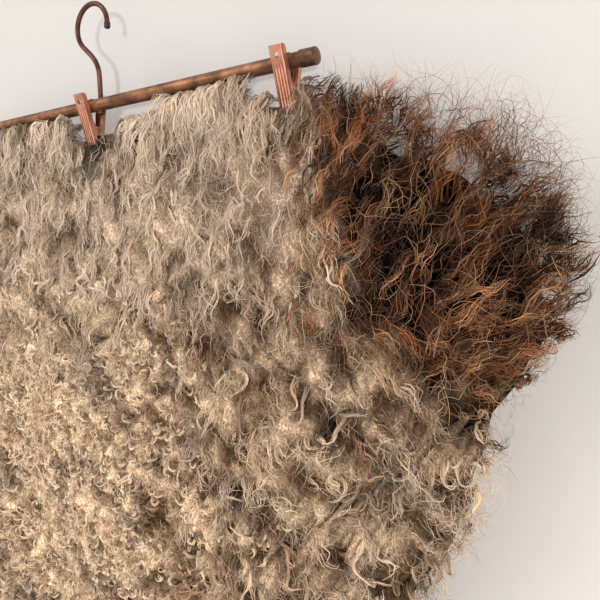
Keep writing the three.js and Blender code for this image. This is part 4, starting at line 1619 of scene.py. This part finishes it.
    def edge_hairs(self, count: int = 2400, wisps: int = 120) -> Coat:
        """Scatter fly-away hairs along the wool's edge, longest and thickest on the dark lobe.

        Half of them stand alone and half share a wisp's place and way. A hair starts inside the
        outline, further in where the lobe is airy, and points outwards and along the wool's lie.

        Args:
            count: Number of hairs.
            wisps: Number of wisps.

        Returns:
            Their strands.
        """
        draw, growth, pelt, total = self.draw, self.growth, self.pelt, count * 3
        wisp = draw.integers(0, wisps, total)
        together = draw.uniform(0, 1, total) < 0.5
        places, leans = draw.uniform(-0.9, math.pi, wisps), draw.normal(0, 0.5, wisps)
        beside = places[wisp] + draw.normal(0, 0.012, total)
        angle = np.where(together, beside, draw.uniform(-0.9, math.pi, total))
        reach = pelt.reach(angle)
        airy = growth.airy(*pelt.spot(angle, reach))
        reach = reach - draw.uniform(0.002, 0.026, total) - draw.uniform(0, 0.022, total) * airy
        x, z = pelt.spot(angle, reach)
        lobe = growth.lobe(x, z)
        by_the_rod = (np.abs(x) < 0.2) & (z > -0.1)
        pale_rim = ease(x, 0.22, 0.26) * (1 - lobe)
        keep = draw.uniform(0, 1, total) < 0.24 + 0.40 * lobe + 0.36 * airy + 0.45 * pale_rim
        keep = np.flatnonzero(~by_the_rod & keep)[:count]
        x, z, angle, lobe, airy, wisp, together = (
            part[keep] for part in (x, z, angle, lobe, airy, wisp, together)
        )
        count = len(x)
        length = draw.uniform(0.012, 0.030, count) * (1 + 0.9 * lobe + 0.5 * airy)
        length = length * np.where(x > 0, 0.4 + 0.6 * ease(x, 0.22, 0.29), 1)
        aim = blend(angle, growth.heading(x, z, np.zeros(count)), 0.4 * lobe)
        shared = leans[wisp] + draw.normal(0, 0.22, count)
        aim = aim + np.where(together, shared, draw.normal(0, 0.6, count))
        depth = draw.uniform(0.0, 0.9, count) * pelt.depth(pelt.share(x, z))
        hairs = self.drift(x, z, depth, aim, length, draw.normal(0, 1.7, count), 10)
        left_room, right_room = draw.uniform(0.004, 0.038, count), draw.uniform(0.002, 0.022, count)
        room = blend(left_room, right_room, ease(x, 0.30, 0.34))
        hairs = self.shortened(hairs, room * (1 - 0.8 * growth.notch(x, z)))
        s = 0.3 + 0.6 * np.linspace(0, 1, 10)[None]
        luck = draw.uniform(0.35, 1, count)
        tint = growth.colours(*(part[:, None] for part in (x, z)), s, luck[:, None], np.array(0.9))
        half = draw.uniform(0.00007, 0.00012, count)
        return Coat(self.off_the_felt(hairs), half, np.ones(count), tint)

    def tufts(self, clip: ClipPlace) -> Coat:
        """Grow the wool that fills a clip's opening beside its jaws and slides along with it.

        Args:
            clip: The clip.

        Returns:
            Its strands.
        """
        jaw, gap, per_metre = 0.0068, 0.001, 915
        low = clip.low + gap
        high = clip.high - gap if clip.side != "middle" else clip.x - jaw
        count = int(per_metre * (high - low)) + 6
        x = self.draw.uniform(low, high, count)
        z = self.draw.uniform(-0.033, -0.015, count)
        keep = np.abs(x - clip.x) > jaw
        return self.grow(Lock.HANGING, x[keep], z[keep], (0.0, 0.004))

    def beside_the_rod(self) -> dict[str, Coat]:
        """Grow the wool's upper edge: over the rod at the far left, up to its underside elsewhere.

        Returns:
            The strands of each stretch, by its pieces' name.
        """
        grown = {}
        for name, low, high, count, room in (
            ("far_left_rod_locks", -0.160, -0.092, 110, (0.008, 0.016)),
            ("left_rod_locks", -0.092, -0.036, 60, (0.001, 0.005)),
            ("right_rod_locks", 0.075, 0.157, 80, (0.000, 0.005)),
        ):
            x = self.draw.uniform(low, high, count)
            z = self.draw.uniform(-0.0125, -0.0055, count)
            grown[name] = self.grow(Lock.HANGING, x, z, room)
        return grown

    def clear_of_hardware(self, coat: Coat, travel: bool) -> Coat:
        """Keep the strands that stay clear of the rod and of the clips.

        Args:
            coat: The strands, in the rod's frame.
            travel: Whether the clips' whole travel is kept free, or only their place at rest.

        Returns:
            The strands that are clear.
        """
        x, y, z = np.moveaxis(coat.paths, -1, 0)
        hit = (np.hypot(y, z) < self.ROD_ROOM).any(1)
        behind = (z > self.JAW_FOOT) & (y > self.JAW_FRONT)
        for clip in CLIPS:
            rest = (clip.x - self.JAW_ROOM, clip.x + self.JAW_ROOM)
            low, high = (clip.low, clip.high) if travel else rest
            hit |= ((x > low) & (x < high) & behind).any(1)
        return coat.some(~hit)

    def pieces_from(self, name: str, coat: Coat) -> list[bpy.types.Object]:
        """Turn strands into pieces, cut into upright bands so that each holds neighbours.

        Args:
            name: The pieces' name, numbered from 1 where there is more than one.
            coat: The strands, in the rod's frame.

        Returns:
            The pieces.
        """
        count, steps, _ = coat.paths.shape
        triangles = count * 2 * (SIDES * (steps - 1) + SIDES - 2)
        parts = math.ceil(triangles / MOST_TRIANGLES)
        made = []
        for index, rows in enumerate(np.array_split(np.argsort(coat.paths[:, 0, 0]), parts), 1):
            points, faces, flow, tint = coat.some(rows).mesh()
            label = f"{name}_{index}" if parts > 1 else name
            made.append(mesh_piece(label, points + ROD_CENTRE, faces, tint, flow))
        log.info("%s: %d strands, %d triangles", name, count, triangles)
        return made

    def build(self) -> None:
        """Make and dress every piece of the fleece."""
        pale = Wool().material("long_wool")
        brown, brighter = (0.58, 0.52, 0.48), (1.3, 1.25, 1.2)
        dark = Wool(0.5, True, brown, brighter, 0.0, 0.12, 0.8).material("dark_wool")
        dull, brightest = (0.66, 0.62, 0.58), (1.75, 1.72, 1.68)
        matted = Wool(0.8, False, dull, brightest, 0.0, 0.04, 0.3).material("matted_wool")
        back = self.build_backing()
        dress(back, Felted().material("felted_back"), "fleece")
        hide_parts("fleece_backing")
        under = self.build_underlayer()
        dress(under, matted, "fleece")
        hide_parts("wool_pile")
        coats = {
            f"{kind.name.lower()}_locks": self.grow(kind, x, z, (-0.003, 0.010))
            for kind, (x, z) in self.roots().items()
        }
        coats |= self.beside_the_rod()
        coats |= {"loose_hairs": self.loose_hairs(), "edge_hairs": self.edge_hairs()}
        for name, coat in coats.items():
            wool = dark if name in ("swept_locks", "edge_hairs") else pale
            for piece in self.pieces_from(name, self.clear_of_hardware(coat, travel=True)):
                dress(piece, wool, "fleece")
        for clip in CLIPS:
            coat = self.clear_of_hardware(self.tufts(clip), travel=False)
            for piece in self.pieces_from(f"{clip.side}_clip_tuft", coat):
                dress(piece, pale, f"{clip.side}_clip")


def dress(piece: bpy.types.Object, material: bpy.types.Material, body: str) -> None:
    """Give a new piece its material and the body it rides on.

    Args:
        piece: The piece.
        material: Its material.
        body: The body it moves with.
    """
    piece.data.materials.clear()
    piece.data.materials.append(material)
    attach(piece, body)
    log.info("%s: %d faces, on %s", piece.name, len(piece.data.polygons), body)


# Metal hanger


@dataclass(frozen=True)
class Hanger:
    """The finishes of the hook, the rod and the clips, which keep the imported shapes.

    Attributes:
        hook: The hook with its washer and nut.
        rod: The rod.
        cap: The rod's end caps.
        clip: The clips' jaws.
        rivet: Their rivets.
        spring: Their springs.
        pad: Their pads.
        tip: The cap on the hook's tip.
    """

    hook: WornMetal = WornMetal((116, 74, 54), (62, 39, 30), 0.44, 0.75, (1, 1, 0.05))
    rod: WornMetal = WornMetal((164, 114, 80), (98, 66, 46), 0.46, 0.75, (0.03, 1, 1))
    cap: WornMetal = WornMetal((128, 94, 70), (78, 54, 40), 0.46, 0.75, (0.3, 1, 1))
    clip: WornMetal = WornMetal((218, 158, 128), (168, 110, 84), 0.38, 0.8, (1, 1, 0.06))
    rivet: WornMetal = WornMetal((170, 148, 104), (112, 96, 66), 0.36, 0.9)
    spring: WornMetal = WornMetal((170, 170, 172), (96, 96, 98), 0.3, 1.0)
    pad: Rubber = Rubber((32, 29, 27), 0.75)
    tip: Rubber = Rubber((20, 20, 21), 0.5)

    def dress_nodes(self) -> None:
        """Give every packed metal and rubber node its finish."""
        sides = [f"{clip.side}_clip" for clip in CLIPS]
        rows = [
            ("hook_bronze", self.hook, ["hook_wire", "stem_washer", "stem_nut"]),
            ("rod_copper", self.rod, ["rod_tube"]),
            ("cap_bronze", self.cap, ["left_rod_cap", "right_rod_cap"]),
            ("rivet_brass", self.rivet, [f"{side}_rivet" for side in sides]),
            ("spring_steel", self.spring, [f"{side}_spring" for side in sides]),
            ("dark_rubber", self.pad, [f"{s}_{at}_pad" for s in sides for at in ("front", "back")]),
            ("black_tip", self.tip, ["hook_tip_cap"]),
        ]
        for clip, side in zip(CLIPS, sides):
            copper = replace(self.clip, middle=clip.x + float(ROD_CENTRE[0]))
            rows.append((f"{side}_copper", copper, [f"{side}_front_jaw", f"{side}_back_jaw"]))
        for slot, finish, names in rows:
            material = finish.material(slot)
            for name in names:
                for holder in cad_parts[name].material_slots:
                    holder.material = material
                log.info("%s: packed shape, %s", name, slot)


# Studio


@dataclass(frozen=True)
class Lamp:
    """A round soft lamp: its place, what it aims at, its width and its power in watts."""

    name: str
    place: Colour
    aim: Colour
    width: float
    power: float

    def hang(self) -> None:
        """Hang the lamp."""
        data = bpy.data.lights.new(self.name, "AREA")
        data.shape, data.size, data.energy = "DISK", self.width, self.power
        lamp = linked(self.name, data)
        lamp.location = self.place
        lamp.rotation_mode = "QUATERNION"
        lamp.rotation_quaternion = (Vector(self.aim) - Vector(self.place)).to_track_quat("-Z", "Y")


@dataclass(frozen=True)
class Studio:
    """The camera, the lamps, the pale wall behind and the pale floor below.

    Attributes:
        eye: Where the camera stands.
        yaw: Its turn to the left of +Y, in degrees.
        pitch: Its tilt up.
        roll: Its turn about its own axis.
        lens: Focal length in millimetres on a 36 mm sensor.
        wall_y: Where the wall stands.
        floor_z: Height of the floor.
        reach: How far the room goes to each side and to the front.
        ceiling: Height of the wall's top.
        lamps: Wide soft lamps from both sides and a small low one that casts the hook's shadow.
    """

    eye: Colour = (0.4294, -0.3584, -0.1995)
    yaw: float = 33.62
    pitch: float = -4.38
    roll: float = -1.9
    lens: float = 39.0
    wall_y: float = 0.055
    floor_z: float = -1.35
    reach: float = 3.0
    ceiling: float = 1.6
    lamps: tuple[Lamp, ...] = (
        Lamp("key_lamp", (-2.4, -3.6, 2.1), (0.05, 0.0, -0.3), 2.4, 86.0),
        Lamp("fill_lamp", (2.5, -3.4, -0.9), (0.1, 0.0, -0.3), 2.8, 42.0),
        Lamp("low_lamp", (1.84, -2.46, -0.72), (0.0, 0.0, -0.1), 0.10, 30.0),
    )

    def place_camera(self) -> None:
        """Stand the camera where the measured view has it: its axes are right, up and back."""
        yaw, pitch, roll = (math.radians(angle) for angle in (self.yaw, self.pitch, self.roll))
        level = Vector((math.cos(yaw), math.sin(yaw), 0))
        forward = math.cos(pitch)
        ahead = Vector((-math.sin(yaw) * forward, math.cos(yaw) * forward, math.sin(pitch)))
        raised = level.cross(ahead)
        right = level * math.cos(roll) + raised * math.sin(roll)
        up = raised * math.cos(roll) - level * math.sin(roll)
        data = bpy.data.cameras.new("camera")
        data.lens, data.sensor_width, data.clip_start = self.lens, 36.0, 0.01
        camera = linked("camera", data)
        turned = Matrix((right, up, -ahead)).transposed().to_4x4()
        camera.matrix_world = Matrix.Translation(self.eye) @ turned
        bpy.context.scene.camera = camera

    @staticmethod
    def paint(name: str, colour: Colour) -> bpy.types.Material:
        """Make matt paint that shows from its front and lets light and sight through from behind.

        Args:
            name: The material's name.
            colour: Its colour, in screen values.

        Returns:
            The material.
        """
        nodes = Nodes(bpy.data.materials.new(name))
        lit = from_screen(colour)
        clouds = nodes.from_range(nodes.noise(3.0, 3), 0.3, 0.7)
        tint = nodes.between(clouds, tuple(0.97 * part for part in lit), lit)
        matt = nodes.add("ShaderNodeBsdfDiffuse", {}, {"Color": tint})
        clear = nodes.add("ShaderNodeBsdfTransparent")
        behind = nodes.add("ShaderNodeNewGeometry", out="Backfacing")
        shadow = nodes.add("ShaderNodeLightPath", out="Is Shadow Ray")
        unseen = nodes.maths("MAXIMUM", behind, shadow)
        mixed = nodes.add("ShaderNodeMixShader", {}, {0: unseen, 1: matt, 2: clear})
        nodes.add("ShaderNodeOutputMaterial", {}, {"Surface": mixed})
        return nodes.owner

    def build_walls(self) -> None:
        """Stand a wall behind the hanger and lay a floor under it, both facing the room."""
        sides = np.array([-self.reach, self.reach, self.reach, -self.reach])
        for name, y, z, colour in (
            ("backdrop_wall", (self.wall_y,) * 2, (self.floor_z, self.ceiling), (220, 213, 206)),
            ("backdrop_floor", (-self.reach, self.wall_y), (self.floor_z,) * 2, (236, 233, 228)),
        ):
            corners = np.stack([sides, np.repeat(y, 2), np.repeat(z, 2)], -1)
            piece = mesh_piece(name, corners, [np.array([[0, 1, 2, 3]])])
            piece.data.materials.append(self.paint(name, colour))

    @staticmethod
    def open_sky() -> None:
        """Surround the room with a pale world that looks warmer than the light it gives."""
        world = bpy.data.worlds.new("studio")
        bpy.context.scene.world = world
        nodes = Nodes(world)
        given, shown = (
            nodes.add("ShaderNodeBackground", {}, {"Color": colour, "Strength": strength})
            for colour, strength in (((0.93, 0.95, 1.0, 1), 0.58), ((0.86, 0.85, 0.83, 1), 1.0))
        )
        camera, glossy = (
            nodes.add("ShaderNodeLightPath", out=f"Is {ray} Ray") for ray in ("Camera", "Glossy")
        )
        seen = nodes.maths("MAXIMUM", camera, glossy)
        mixed = nodes.add("ShaderNodeMixShader", {}, {0: seen, 1: given, 2: shown})
        nodes.add("ShaderNodeOutputWorld", {}, {"Surface": mixed})

    def build(self) -> None:
        """Set up the whole studio."""
        bpy.context.scene.view_settings.view_transform = "Standard"
        self.place_camera()
        self.build_walls()
        for lamp in self.lamps:
            lamp.hang()
        self.open_sky()


def main() -> None:
    """Build the studio and the hanger in order."""
    logging.basicConfig(level=logging.INFO, format="%(name)s: %(message)s")
    Studio().build()
    Hanger().dress_nodes()
    Fleece().build()


if __name__ == "__main__":
    main()
